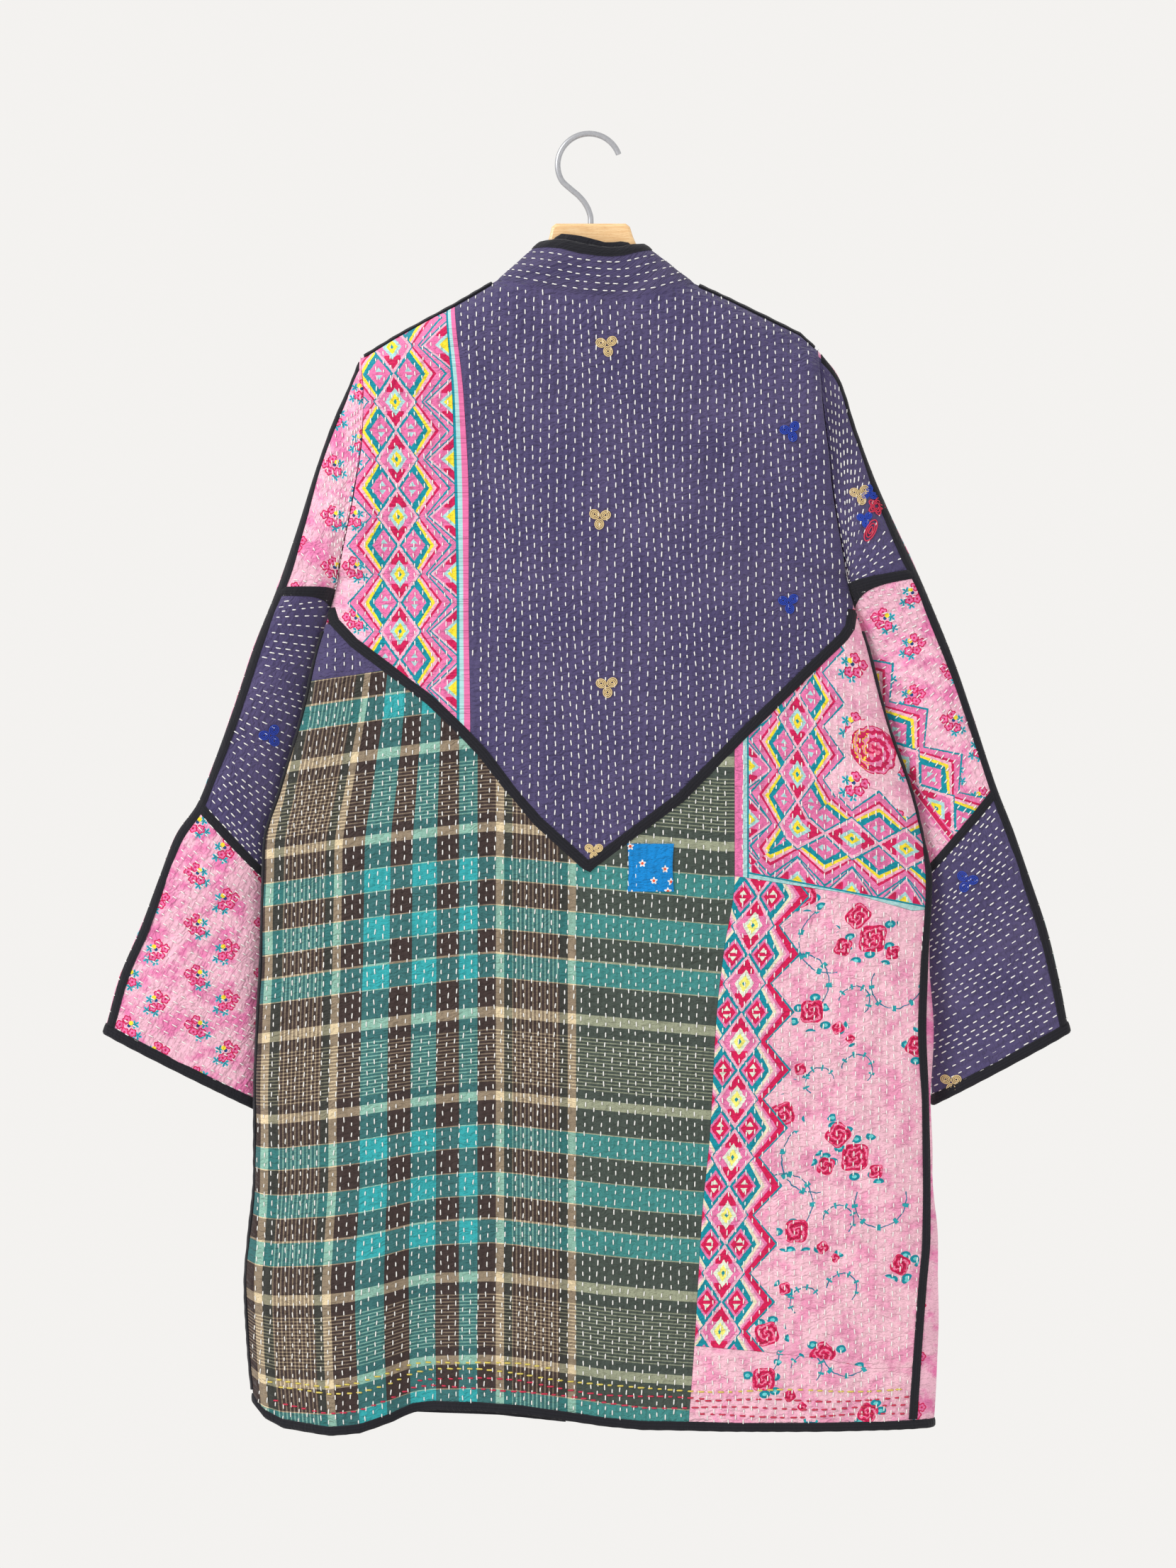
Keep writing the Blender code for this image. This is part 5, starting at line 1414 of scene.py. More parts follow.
def make_sleeve(side):
    stations = SLEEVES[side]
    for piece in SLEEVE_PIECES[side]:
        count = int((piece.stop - piece.start) * 10)
        places = np.linspace(piece.start, piece.stop, count)
        rings, angles = sleeve_grid(stations, places)
        points, normals = on_sleeve(stations, rings, angles)
        wrapped = np.concatenate([points, points[:, :1]], axis=1)
        wide = lengths_along(wrapped)
        down = lengths_along(wrapped.transpose(1, 0, 2)).T
        down = down + piece.start * 45 + .12 * wide
        relief = held_at_edges(ripple(wide, down)[:, :-1], points, closed=True)
        name = f"sleeve_{side}_{piece.node}"
        zones = [0] * SLEEVE_BACK + [1] * SLEEVE_FRONT
        made = shell(
            name + "_cloth", pull_in(points, closed=True), normals, wrapped[..., [0, 2]],
            [finish_of(piece.back), finish_of(piece.front)], relief=relief, closed=True,
            zones=np.array(zones), replaced=[name],
        )


# Bindings

Binding = namedtuple("Binding", "thick crown lift")
FOLDED = Binding(1.5, .9, .55)


def binding(name, lines, closed=False, kind=FOLDED):
    """A folded strip in place of the node of this name. Its lines run side by side, each
    of points with their outward directions."""
    points, normals = (np.stack(part) for part in zip(*lines))
    bulge = np.sin(np.linspace(0, math.pi, len(lines))) ** .6
    run = lengths_along(points)
    wide = lengths_along(points.transpose(1, 0, 2)).T
    crinkle = .16 * np.sin(run / 2.3 + 2 * np.sin(run / 19)) * bulge[:, None]
    relief = kind.crown * bulge[:, None] + crinkle
    if closed:
        run = np.concatenate([run, run[:, -1:] + 1], axis=1)
        wide = np.concatenate([wide, wide[:, -1:]], axis=1)
    shell(
        name + "_strip", points + normals * kind.lift, normals, np.stack([wide, run], -1),
        [finish_of("black")], thick=kind.thick + kind.lift, relief=relief, closed=closed,
        replaced=[name],
    )


def finer(points):
    """A path with points no further apart than 3 millimetres."""
    points = np.array(points, float)
    run = length_to(points)
    at = np.linspace(0, run[-1], max(int(run[-1] / 3), 2))
    return np.stack([np.interp(at, run, points[:, k]) for k in range(points.shape[1])], -1)


def make_yoke_binding():
    path = finer([(-218.5, -400), *((p.x, p.z) for p in YOKE_POINT[1:-1]), (222.5, -401)])
    step = unit(np.gradient(path, axis=0))
    side = np.stack([-step[:, 1], step[:, 0]], -1)
    reach = np.ones(len(path))
    reach[np.argmin(path[:, 1])] = 1.3
    lines = []
    for offset in np.linspace(4.3, -4.3, 5):
        place = path + side * (offset * reach)[:, None]
        lines.append(on_body(place[:, 0], place[:, 1]))
    binding("yoke_binding", lines)


def shoulder_drop(distance, full):
    """How far below the ridge the rounded shoulder lies, at a distance round it."""
    part = 1 - math.sqrt(1 - (distance / full) ** 2)
    return part * SHOULDER_ROUND / SHOULDER_SLOPE_COS


def make_shoulder_bindings():
    for side, start, stop in (("left", -190, -82), ("right", 93, 190.5)):
        x = np.linspace(start, stop, 40)
        ridge = along(SHOULDER_LINE, x)
        lines = []
        for on_front, distances, full in (
            (False, (9, 6.5, 4, 1.5), 30), (True, (1.5, 4, 6), 26),
        ):
            for distance in distances:
                z = ridge - shoulder_drop(distance, full)
                lines.append(on_body(x, z, on_front))
        up = unit(lines[3][1] + lines[4][1])
        lines.insert(4, (body_at(x, ridge - .01), up))
        binding(f"shoulder_binding_{side}", lines)


def turn_lines(turn, z, half):
    """Five lines beside a line down the body, at equal distances round it."""
    lines = []
    turns = turn[:, None] + np.linspace(-.5, .5, 201)[None]
    points = body_at_turn(turns, z[:, None] + 0 * turns)
    run = lengths_along(points)
    run = run - run[:, 100:101]
    normals = grid_normals(points)
    for offset in np.linspace(-half, half, 5):
        row = np.array([np.interp(offset, r, np.arange(201)) for r in run])
        low = np.clip(row.astype(int), 0, 199)
        share = (row - low)[:, None]
        index = np.arange(len(z))
        place = points[index, low] * (1 - share) + points[index, low + 1] * share
        out = normals[index, low] * (1 - share) + normals[index, low + 1] * share
        lines.append((place, unit(out)))
    return lines


def make_side_bindings():
    for side, low in (("left", -1060), ("right", -1083)):
        z = np.linspace(-419, low, 200)
        if side == "left":
            turn = 0 * z
        else:
            turn = turn_of(across(at_height(EDGE["seam"], z), z))
        binding(f"side_binding_{side}", turn_lines(turn, z, 3.75), kind=Binding(1.3, .7, .8))


def make_hem_binding():
    """Round the whole hem, from one front's edge to the other's."""
    row = np.array([4.0])
    cols = split_evenly(START, SEAM, WIDTHS, 3.0)
    lines = []
    for lift in (6.5, 5.0, 3.4, 1.8, .4):
        left_turn, left_z = front_grid(row, FRONT_SHARES, False)
        back_turn, back_z = back_grid(row, cols)
        right_turn, right_z = front_grid(row, FRONT_SHARES, True)
        turn = np.concatenate([left_turn[0, :0:-1], back_turn[0], right_turn[0, 1:]])
        z = np.concatenate([left_z[0, :0:-1], back_z[0], right_z[0, 1:]])
        points = body_at_turn(turn, z + lift)
        tops = body_at_turn(turn, z + lift + 1.5)
        run = np.gradient(points, axis=0)
        lines.append((points, unit(np.cross(points - tops, run))))
    binding("hem_binding", wrapped_edge(lines))


def wrapped_edge(lines):
    """Carries a binding on round a free edge. The last line lies at the edge."""
    (before, _), (edge, out) = lines[-2], lines[-1]
    down = unit(edge - before)
    return [
        *lines,
        (edge + down * .6 - out * .5, unit(out + down)),
        (edge + down * .7 - out * CLOTH * .7, unit(down - out * .3)),
        (edge - down * 1.2 - out * (CLOTH + .4), -out),
    ]


def make_front_bindings():
    for on_right, side in SIDES:
        rows = split_evenly(0, 4, TALLS, 5.0)[4:-1]
        shares = np.array([1.94, 1.955, 1.97, 1.985, 2.0])
        turns, z = front_grid(rows, shares, on_right)
        points = body_at_turn(turns, z)
        if not on_right:
            points = points[:, ::-1]
        normals = grid_normals(points)
        order = range(5) if on_right else range(4, -1, -1)
        lines = [(points[:, n], normals[:, n]) for n in order]
        binding(f"front_binding_{side}", wrapped_edge(lines))


def make_sleeve_bindings(side):
    stations = SLEEVES[side]
    for label, seam in (("upper", UPPER_SEAM), ("lower", LOWER_SEAM)):
        start = float(sleeve_seam_angle(stations, np.array([float(seam)]))[0])
        angles = np.linspace(start + .04, math.pi * .985, 60)
        apart = spacing(stations, seam, angles)
        lines = [on_sleeve(stations, seam + offset / apart, angles)
                 for offset in np.linspace(-4.2, 4.2, 5)]
        binding(f"sleeve_{side}_{label}_binding", lines)
    angles = np.linspace(0, 2 * math.pi, 120, endpoint=False)
    apart = spacing(stations, CUFF - .2, angles)
    lines = [on_sleeve(stations, CUFF - inward / apart, angles)
             for inward in (8.3, 6.4, 4.4, 2.2, .3)]
    binding(f"sleeve_{side}_cuff_binding", wrapped_edge(lines), closed=True)
    stop = CUFF - 7.8 / float(spacing(stations, CUFF - .2, np.array([.1]))[0])
    places = np.linspace(.12, stop, 190)
    seam = sleeve_seam_angle(stations, places)
    lines = [on_sleeve(stations, places, seam * math.sqrt(away / SEAM_FROM_TOP))
             for away in (1.0, 2.8, 4.7, 6.6, 8.6)]
    binding(f"sleeve_{side}_top_binding", lines)


def spacing(stations, place, angles):
    """Millimetres along the sleeve for each step of its places."""
    step = sleeve_at(stations, place + .1, angles) - sleeve_at(stations, place - .1, angles)
    return np.maximum(np.linalg.norm(step, axis=-1) / .2, 4)


def make_collar():
    seam, top = collar_lines()
    parts = np.linspace(0, 1, 12)[:, None, None]
    points = (seam + (top - seam) * parts)[::-1]
    normals = grid_normals(points)
    run = lengths_along(points)
    up = lengths_along(points.transpose(1, 0, 2)).T
    relief = held_at_edges(ripple(run, up, .5), points, 4)
    made = shell(
        "collar_cloth", points, normals, np.stack([run, -up], -1),
        [finish_of("navy collar")], relief=relief, replaced=["collar"],
    )
    lift = unit(points[0] - points[1])
    out = normals[0]
    lines = []
    for rise, away in ((2.0, -3.3), (5.5, -3.2), (8.0, -2.6), (8.7, -1.2), (8.2, 0),
                       (6.8, .9), (4.4, 1.2), (2, 1.2), (-.6, .9)):
        lines.append(points[0] + lift * rise + out * (away - .5))
    grid = np.stack(lines)
    binding("collar_binding", list(zip(grid, grid_normals(grid))), kind=Binding(.9, .25, 0))
    x = points[0][:, 0]
    chosen = (x > -40) & (x < 45) & (points[0][:, 1] < -8)
    base, out, lift = points[0][chosen], out[chosen], lift[chosen]
    start = base - out * 4.0
    rise = (along(INNER_EDGE_TOP, start[:, 0]) - start[:, 2]) / lift[:, 2]
    rows = np.stack([start + lift * (rise * s)[:, None] for s in (1, .8, .5, .2)])
    binding("collar_inner_edge", [(row, out) for row in rows], kind=Binding(1.2, .3, 0))


PATCH_X, PATCH_Z = (32, 71), (-598, -638)


def make_patch():
    """A small square whose left and right sides bow a little."""
    x, z = np.meshgrid(np.linspace(*PATCH_X, 16), np.linspace(*PATCH_Z, 16))
    aside = x - sum(PATCH_X) / 2
    bow = 1.2 * np.sin((z + 598) / 40 * math.pi) * np.sign(aside) * (aside / 20) ** 2
    points, normals = on_body(x + bow, z)
    made = shell(
        "blue_patch_cloth", points + normals, normals, np.stack([x, z], -1),
        [finish_of("blue")], thick=1.2, replaced=["blue_patch"],
    )


# Sewing


def body_rows(left, right, top, bottom, share=1.0, tilt=0.0, seed=1):
    """Places of running stitches in rows that run down, with small wanderings."""
    xs, zs, slants, sizes = [], [], [], []
    for n, x in enumerate(np.arange(left, right, row_step() * share)):
        shift = seeded(n, seed)
        count = int((top - bottom) / STITCH_PITCH)
        k = np.arange(count)
        z = top - (k + .5 * (n % 2) + .35 * shift) * STITCH_PITCH
        z = z + (seeded(k + 31 * n, seed + 2) - .5) * 1.8
        sway = 1.6 * np.sin(z / 57 + .35 * n + seed) + tilt * (z - top)
        xs.append(x + sway + (seeded(k + 17 * n, seed + 5) - .5) * 1.1)
        zs.append(z)
        slants.append(1.6 / 57 * np.cos(z / 57 + .35 * n + seed) + tilt
                      + (seeded(k + 7 * n, seed + 9) - .5) * .22)
        sizes.append(stitch_sizes(k + 3 * n, seed + 11))
    return tuple(np.concatenate(v) for v in (xs, zs, slants, sizes))


def within_panel(panel, x, z, margin=3.0):
    """Which places lie on a panel of the back, clear of its seams."""
    share = across(x, z)
    lines = back_lines(share, x, panel.corner)
    top, bottom = lines[panel.rows[0]], lines[panel.rows[1]]
    names = ("left",) + KEY_NAMES + ("seam",)
    sides = []
    for key in panel.cols:
        column = EDGE[names[key]] if names[key] in EDGE else LINE[names[key]]
        sides.append(at_height(column, z))
    inside = (x > sides[0] + margin) & (x < sides[1] - margin)
    return inside & (z < top - margin - 1) & (z > bottom + margin + 3)


ROW_TILT = {"yoke_navy": -.012, "yoke_diamond": -.02, "back_check": .02}
BACK_AREA = (-292, 300, -118, -1092)
CORNER_AREA = (-240, -150, -400, -462)


def sew_back():
    for number, panel in enumerate(PANELS):
        if panel.node == "yoke_strip":
            continue
        tilt = ROW_TILT.get(panel.node, 0.0)
        x, z, slant, size = body_rows(*BACK_AREA, tilt=tilt, seed=number + 1)
        keep = within_panel(panel, x, z)
        sew(panel.node + "_stitches", x[keep], z[keep], slant[keep], size[keep])


def sew_corner():
    x, z, slant, size = body_rows(*CORNER_AREA, tilt=-.02, seed=31)
    share = across(x, z)
    low = along(CORNER_LINE, share)
    keep = (share > .01) & (share < CORNER_LINE[-1].x) & (z > low + 4)
    keep &= z < along(YOKE_LINE, share) - 8
    sew("back_corner_stitches", x[keep], z[keep], slant[keep], size[keep])


COLOURED_PITCH = 8.4
COLOURED_LENGTH = 5.6
COLOURED_WIDTH = 1.5
HemRow = namedtuple("HemRow", "rise left right finish")
HEM_ROWS = [
    HemRow(33, -268, 268, "yellow thread"), HemRow(25, 90, 268, "red thread"),
    HemRow(18.5, -268, 268, "red thread"), HemRow(12, 90, 268, "red thread"),
    HemRow(40, -268, -40, "yellow thread"), HemRow(26, -150, 90, "red thread"),
]


def sew_hem():
    """Rows of coloured stitches above the hem's binding."""
    for number, row in enumerate(HEM_ROWS):
        x = np.arange(row.left, row.right, COLOURED_PITCH) + number * 1.7
        x = x + (seeded(np.arange(len(x)), number) - .5) * 1.5
        z = along(HEM_LINE, across(x, -1075.0)) + row.rise
        z = z + 1.2 * np.sin(x / 21 + number)
        here, out = on_body(x, z)
        ahead = body_at(x + 1, z)
        places = here + out * (ripple(x, z) + .4)[:, None]
        sizes = COLOURED_LENGTH * (.75 + .5 * seeded(np.arange(len(x)), 40 + number))
        stitches(f"hem_stitches_{number}", places, out, ahead - here,
                 finish_of(row.finish), sizes, COLOURED_WIDTH)


def sew(name, x, z, slant, sizes, on_front=False):
    """White stitches on the body, which lie on its ripples."""
    places, normals = on_body(x, z, on_front)
    ahead = body_at(x + slant, z + 1, on_front)
    relief = ripple(x + (40 if on_front else 0), z) + .3
    stitches(name, places + normals * relief[:, None], normals, ahead - places,
             finish_of("thread"), sizes)


def sew_rows(name, rows):
    """Makes one piece of rows of places, normals, directions and sizes."""
    places, normals, ways, sizes = (np.concatenate(part) for part in zip(*rows))
    stitches(name, places, normals, ways, finish_of("thread"), sizes)


def sew_fronts():
    for side, left, right in (("left", -262, -22), ("right", 32, 272)):
        x, z, slant, size = body_rows(left, right, -150, -1085, share=1.3,
                                      seed=20 + (side == "right"))
        share = across(x, z)
        top = np.where(
            (x > FRONT_NECK[0].x) & (x < FRONT_NECK[-1].x), along(FRONT_NECK, x),
            along(SHOULDER_LINE, x),
        )
        keep = (z < top - 6) & (share > .035) & (share < .965) & (np.abs(z + 396) > 5)
        start, stop = FRONT_EDGE_HEIGHTS[0], FRONT_EDGE_HEIGHTS[-1]
        away = 11 * np.clip((z - start) / (stop - start), 0, 1) + 10
        if side == "left":
            keep &= x < FRONT_EDGE_LEFT[0] - away
        else:
            keep &= x > FRONT_EDGE_RIGHT[0] + away
        sew(f"front_{side}_stitches", x[keep], z[keep], slant[keep], size[keep], True)


def sleeve_row(stations, piece, n, place, each):
    """The stitches of one row round a sleeve. Where rows crowd together, only some of
    them have stitches."""
    angles = np.linspace(0, 2 * math.pi, 300)
    run = length_to(sleeve_at(stations, place + 0 * angles, angles))
    if run[-1] < 20:
        return None
    at = np.arange(2 + 4 * (n % 2) + seeded(n, 3), run[-1] - 3, STITCH_PITCH)
    at = at + (seeded(np.arange(len(at)) + 9 * n, 4) - .5) * 1.6
    angle = np.interp(at, run, angles)
    seam = float(sleeve_seam_angle(stations, np.array([place]))[0])
    keep = (np.abs(angle - seam) * run[-1] / 6.3 > 5.5) & (angle < 6.2)
    angle = angle[keep]
    sway = place + .25 * row_step() / each * np.sin(at[keep] / 33 + n)
    sway = np.clip(sway, piece.start + 3 / each, piece.stop - 3 / each)
    apart = spacing(stations, place, angle) / each
    clear = n % 2 ** np.clip(np.ceil(-np.log2(apart + .25)), 0, 3) == 0
    angle, sway = angle[clear], sway[clear]
    here, out = on_sleeve(stations, sway, angle)
    ahead = sleeve_at(stations, sway, angle + .02)
    return here + out * .35, out, ahead - here, stitch_sizes(np.arange(len(angle)) + n, 6)


def sew_sleeves():
    for side, stations in SLEEVES.items():
        for piece in SLEEVE_PIECES[side]:
            middle = (piece.start + piece.stop) / 2
            each = float(spacing(stations, middle, np.array([1.6]))[0])
            places = np.arange(piece.start + 4 / each, piece.stop - 4 / each,
                               row_step() / each)
            rows = [sleeve_row(stations, piece, n, place, each)
                    for n, place in enumerate(places)]
            sew_rows(f"sleeve_{side}_{piece.node}_stitches", [row for row in rows if row])


def sew_collar():
    seam, top = collar_lines()
    rows = []
    for n, part in enumerate((.12, .3, .48, .66, .84)):
        line = seam + (top - seam) * part
        run = length_to(line)
        at = np.arange(4 + 4 * (n % 2), run[-1] - 4, STITCH_PITCH)
        at = at + (seeded(np.arange(len(at)) + 5 * n, 8) - .5) * 2
        place, ahead, rise = (
            np.stack([np.interp(where, run, grid[:, k]) for k in range(3)], -1)
            for where, grid in ((at, line), (at + 1, line), (at, top - seam))
        )
        out = unit(np.cross(ahead - place, rise))
        sizes = stitch_length() * (.75 + .4 * seeded(np.arange(len(at)), n))
        rows.append((place + out * .5, out, ahead - place, sizes))
    sew_rows("collar_stitches", rows)


Motif = namedtuple("Motif", "x z finish turn size")
TREFOILS = [
    Motif(15, -180, "gold", 10, 9.5), Motif(9, -325, "gold", -5, 9.5),
    Motif(15, -466, "gold", 5, 9.5), Motif(4, -604, "gold", 0, 8),
    Motif(307, -801, "gold", 0, 9), Motif(228, -304, "gold", 15, 9),
    Motif(169, -252, "blue thread", 20, 9), Motif(168, -395.5, "blue thread", 10, 9),
    Motif(-269, -507, "blue thread", 30, 9.5), Motif(319, -630, "blue thread", -20, 9.5),
    Motif(236, -303, "blue thread", 60, 7), Motif(232, -325, "blue thread", 10, 7),
]
FLOWER = Motif(242, -314, "red thread", 20, 7.5)
LEAF = Motif(237, -334.5, "red thread", 65, 8)


def sleeve_under(x, z):
    """The sleeve's surface under points, with its outward directions."""
    stations = SLEEVES["right" if np.mean(x) > 0 else "left"]
    places, angles = np.meshgrid(np.arange(0, CUFF, .05), np.linspace(.15, 3.1, 70))
    places, angles = places.ravel(), angles.ravel()
    surface = sleeve_at(stations, places, angles)
    gaps = (surface[:, 0] - x[:, None]) ** 2 + (surface[:, 2] - z[:, None]) ** 2
    nearest = np.argmin(gaps, axis=1)
    points = np.stack([x, surface[nearest, 1], z], -1)
    return points, sleeve_normal(stations, places[nearest], angles[nearest])


def on_coat(x, z):
    """The photographed surface under points, on the body or a sleeve."""
    middle = float(across(np.mean(x), np.mean(z)))
    if 0 < middle < 1:
        points, out = on_body(x, z)
        return points + out * ripple(x, z)[:, None], out
    return sleeve_under(x, z)


def tube(name, paths, radius, finish):
    """Round threads through points in millimetres, closed at their ends."""
    curve = bpy.data.curves.new(name, "CURVE")
    curve.dimensions = "3D"
    curve.bevel_depth = radius * MM
    curve.bevel_resolution = 2
    curve.use_fill_caps = True
    for line in paths:
        spline = curve.splines.new("POLY")
        spline.points.add(len(line) - 1)
        flat = np.concatenate([np.array(line) * MM, np.ones((len(line), 1))], axis=1)
        spline.points.foreach_set("co", flat.ravel())
        spline.use_smooth = True
    holder = bpy.data.objects.new(name, curve)
    bpy.context.scene.collection.objects.link(holder)
    bpy.context.view_layer.update()
    mesh = bpy.data.meshes.new_from_object(holder)
    bpy.data.objects.remove(holder)
    mesh.name = name
    mesh.materials.clear()
    mesh.materials.append(finish_of(finish))
    mesh.shade_smooth()
    new_object(name, mesh)


def turned(ahead, aside, degrees):
    """Two coordinates turned in the coat's plane."""
    cos, sin = math.cos(math.radians(degrees)), math.sin(math.radians(degrees))
    return ahead * cos - aside * sin, ahead * sin + aside * cos


def trefoil_lines(motif):
    """Three petals of three loops each."""
    t = np.linspace(0, 2 * math.pi, 20)
    for petal in range(3):
        for scale in (1.0, .66, .33):
            away = motif.size * .56 + motif.size * .44 * scale * np.cos(t)
            wide = motif.size * .38 * scale * np.sin(t)
            yield turned(away, wide, motif.turn - 90 + 120 * petal)


def flower_lines(motif):
    """Three loops with five petals."""
    t = np.linspace(0, 2 * math.pi, 60)
    for scale in (1.0, .7, .4):
        away = motif.size * scale * (.8 + .2 * np.cos(5 * t))
        yield away * np.cos(t), away * np.sin(t)


def leaf_lines(motif):
    """Three long loops."""
    t = np.linspace(0, 2 * math.pi, 30)
    for scale in (1.0, .66, .33):
        yield turned(motif.size * 1.2 * np.cos(t) * scale, motif.size * .5 * np.sin(t) * scale,
                     motif.turn)


def embroider(name, motifs, radius, finish):
    """One piece of thread for motifs that each come with the way to draw them."""
    paths = []
    for motif, lines in motifs:
        for x, z in lines(motif):
            points, out = on_coat(motif.x + x, motif.z + z)
            paths.append(points + out * .5)
    tube(name, paths, radius, finish)


def make_embroidery():
    for finish in ("gold", "blue thread"):
        motifs = [(motif, trefoil_lines) for motif in TREFOILS if motif.finish == finish]
        embroider("trefoils_" + finish.split()[0], motifs, .48, finish)
    embroider("flower_and_leaf", [(FLOWER, flower_lines), (LEAF, leaf_lines)], .6,
              FLOWER.finish)


def make_hanger():
    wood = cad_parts["hanger_wood"]
    wood.data.materials.clear()
    wood.data.materials.append(finish_of("wood"))
    make_hook()


def make_hook():
    """The wire: a curve through the hook's middle line, with round caps, made a mesh."""
    angles = np.radians(np.linspace(*HOOK_TURN, 60))
    centre = HOOK_WIRE - HOOK_RADIUS
    arc = np.stack([HOOK_RADIUS * np.cos(angles), 0 * angles,
                    centre + HOOK_RADIUS * np.sin(angles)], -1)
    run = np.concatenate([arc, [(p.x, 0, p.z) for p in HOOK_SWAN]])
    step = length_to(run)
    at = np.linspace(0, step[-1], 110)
    path = np.stack([smooth_values(step, run[:, k], at) for k in range(3)], -1)
    bpy.ops.object.select_all(action="DESELECT")
    bpy.ops.curve.primitive_nurbs_path_add(location=(0, 0, 0))
    hook = bpy.context.object
    hook.name = hook.data.name = "hook_wire"
    wire = hook.data
    wire.splines.clear()
    line = wire.splines.new("POLY")
    line.points.add(len(path) - 1)
    for point, place in zip(line.points, path * MM):
        point.co = (*place, 1)
    line.use_smooth = True
    wire.bevel_depth = HOOK_WIRE * MM
    wire.bevel_resolution = 7
    wire.use_fill_caps = True
    bpy.ops.object.convert(target="MESH")
    hook = bpy.context.object
    hook.data.materials.clear()
    hook.data.materials.append(finish_of("metal"))
    bpy.ops.object.shade_smooth_by_angle(angle=SHARP_EDGE)
    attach(hook, "root")
    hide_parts("hanger_hook")


# The stage

FLOOR_RADIUS = 3
FLOOR_HEIGHT = -1.9
AIM = (0, 0, -.55)
Lamp = namedtuple("Lamp", "name place power size")
LAMPS = [
    Lamp("key light", (-2.6, -1.9, 1.5), 80, 1.2),
    Lamp("fill light", (2.4, -3.0, -.4), 6, 2.2),
]
SKY_COLOUR = (.93, .915, .895, 1)
SKY_STRENGTH = .97
CAMERA_PLACE = (-.0009, -3.2, -.548)
CAMERA_LENS = 86.8


def make_floor():
    bpy.ops.object.select_all(action="DESELECT")
    bpy.ops.mesh.primitive_circle_add(vertices=96, radius=FLOOR_RADIUS, fill_type="NGON",
                                      location=(0, 0, FLOOR_HEIGHT))
    floor = bpy.context.object
    floor.name = "floor"
    material, _, shader = new_material("pale floor")
    shader.inputs["Base Color"].default_value = (.86, .84, .82, 1)
    shader.inputs["Roughness"].default_value = .9
    floor.data.materials.append(material)


def add_to_scene(name, data, place, turn):
    made = bpy.data.objects.new(name, data)
    bpy.context.scene.collection.objects.link(made)
    made.location = place
    made.rotation_euler = turn
    return made


def make_stage():
    make_floor()
    scene = bpy.context.scene
    scene.world = bpy.data.worlds.new("studio")
    scene.world.use_nodes = True
    backdrop = scene.world.node_tree.nodes["Background"]
    backdrop.inputs["Color"].default_value = SKY_COLOUR
    backdrop.inputs["Strength"].default_value = SKY_STRENGTH
    for lamp in LAMPS:
        data = bpy.data.lights.new(lamp.name, "AREA")
        data.energy = lamp.power
        data.size = lamp.size
        add_to_scene(lamp.name, data, lamp.place,
                     heading_of(np.array(AIM) - np.array(lamp.place)))
    data = bpy.data.cameras.new("camera")
    data.lens = CAMERA_LENS
    data.sensor_width = 36
    scene.camera = add_to_scene("camera", data, CAMERA_PLACE, (math.pi / 2, 0, 0))
    scene.view_settings.view_transform = "Standard"


def heading_of(aim):
    """The turn with which a lamp shines along a direction."""
    return Vector(aim).to_track_quat("-Z", "Y").to_euler()


# The add-on


class CoatSizes(bpy.types.PropertyGroup):
    """Sizes of the sewing and the cloth."""

    row_step: bpy.props.FloatProperty(
        name="Row step", description="Distance between rows of stitches",
        default=ROW_STEP * MM, unit="LENGTH",
    )
    stitch_length: bpy.props.FloatProperty(
        name="Stitch length", description="Length of one running stitch",
        default=STITCH_LENGTH * MM, unit="LENGTH",
    )


class COAT_OT_back(bpy.types.Operator):
    """Build the panels of the back and the small blue patch"""

    bl_idname = "coat.back"
    bl_label = "Back"

    def execute(self, context):
        for panel in PANELS:
            make_back_panel(panel)
        make_corner()
        make_patch()
        return {"FINISHED"}


class COAT_OT_fronts(bpy.types.Operator):
    """Build both fronts"""

    bl_idname = "coat.fronts"
    bl_label = "Fronts"

    def execute(self, context):
        make_fronts()
        return {"FINISHED"}


class COAT_OT_sleeves(bpy.types.Operator):
    """Build the pieces of both sleeves"""

    bl_idname = "coat.sleeves"
    bl_label = "Sleeves"

    def execute(self, context):
        make_sleeve("left")
        make_sleeve("right")
        return {"FINISHED"}


class COAT_OT_collar(bpy.types.Operator):
    """Build the collar and its binding"""

    bl_idname = "coat.collar"
    bl_label = "Collar"

    def execute(self, context):
        make_collar()
        return {"FINISHED"}


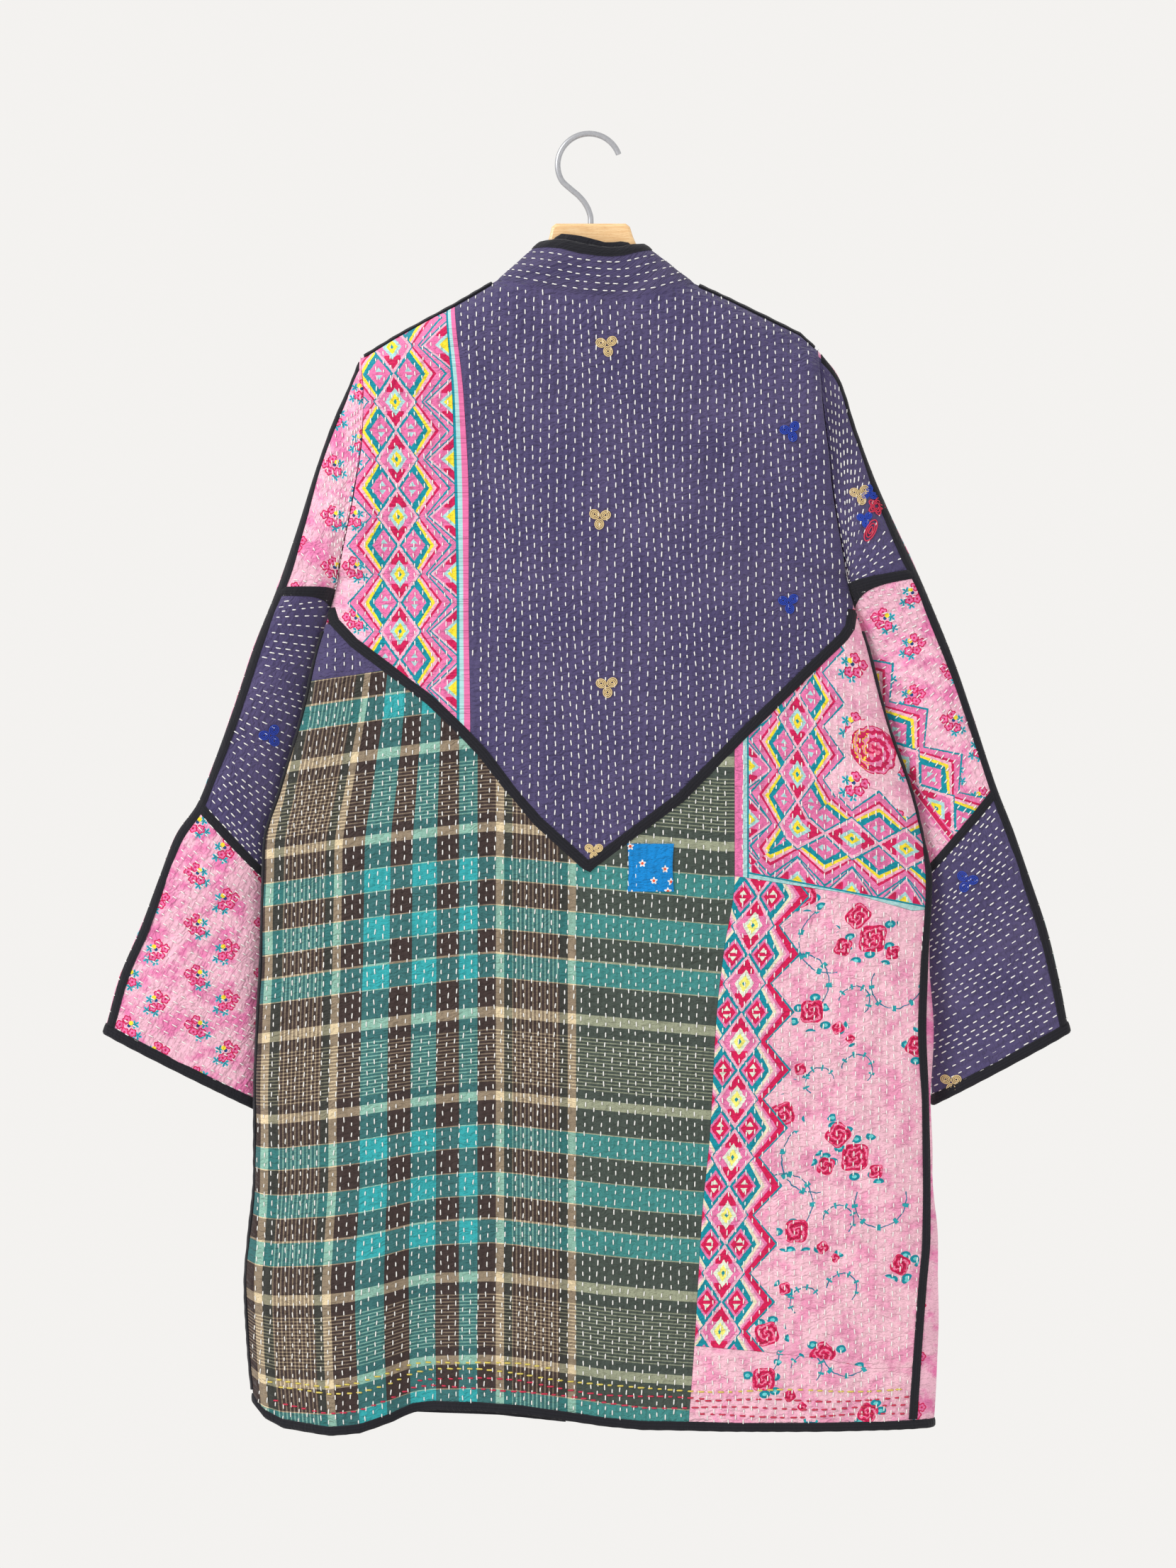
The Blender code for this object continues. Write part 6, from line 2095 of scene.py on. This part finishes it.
class COAT_OT_bindings(bpy.types.Operator):
    """Build the black bindings"""

    bl_idname = "coat.bindings"
    bl_label = "Bindings"

    def execute(self, context):
        make_yoke_binding()
        make_shoulder_bindings()
        make_side_bindings()
        make_hem_binding()
        make_front_bindings()
        make_sleeve_bindings("left")
        make_sleeve_bindings("right")
        return {"FINISHED"}


class COAT_OT_sewing(bpy.types.Operator):
    bl_idname = "coat.sewing"
    bl_label = "Sewing"

    def execute(self, context):
        sew_back()
        sew_corner()
        sew_hem()
        sew_fronts()
        sew_sleeves()
        sew_collar()
        make_embroidery()
        return {"FINISHED"}


class COAT_OT_hanger(bpy.types.Operator):
    """Finish the wooden hanger and its hook"""

    bl_idname = "coat.hanger"
    bl_label = "Hanger"

    def execute(self, context):
        make_hanger()
        return {"FINISHED"}


class COAT_OT_stage(bpy.types.Operator):
    """Set up the floor, the lights and the camera"""

    bl_idname = "coat.stage"
    bl_label = "Stage"

    def execute(self, context):
        make_stage()
        return {"FINISHED"}


STEPS = ("back", "fronts", "sleeves", "collar", "bindings", "sewing", "hanger", "stage")


class COAT_PT_panel(bpy.types.Panel):
    """Lists the coat's steps"""

    bl_idname = "COAT_PT_panel"
    bl_label = "Quilted coat"
    bl_space_type = "VIEW_3D"
    bl_region_type = "UI"
    bl_category = "Coat"

    def draw(self, context):
        sizes = context.scene.coat_sizes
        self.layout.prop(sizes, "row_step")
        self.layout.prop(sizes, "stitch_length")
        for step in STEPS:
            self.layout.operator("coat." + step)


CLASSES = (
    CoatSizes, COAT_OT_back, COAT_OT_fronts, COAT_OT_sleeves, COAT_OT_collar,
    COAT_OT_bindings, COAT_OT_sewing, COAT_OT_hanger, COAT_OT_stage, COAT_PT_panel,
)


def register():
    for item in CLASSES:
        bpy.utils.register_class(item)
    bpy.types.Scene.coat_sizes = bpy.props.PointerProperty(type=CoatSizes)


def unregister():
    del bpy.types.Scene.coat_sizes
    for item in reversed(CLASSES):
        bpy.utils.unregister_class(item)


def main():
    register()
    for step in STEPS:
        getattr(bpy.ops.coat, step)()


if __name__ == "__main__":
    main()
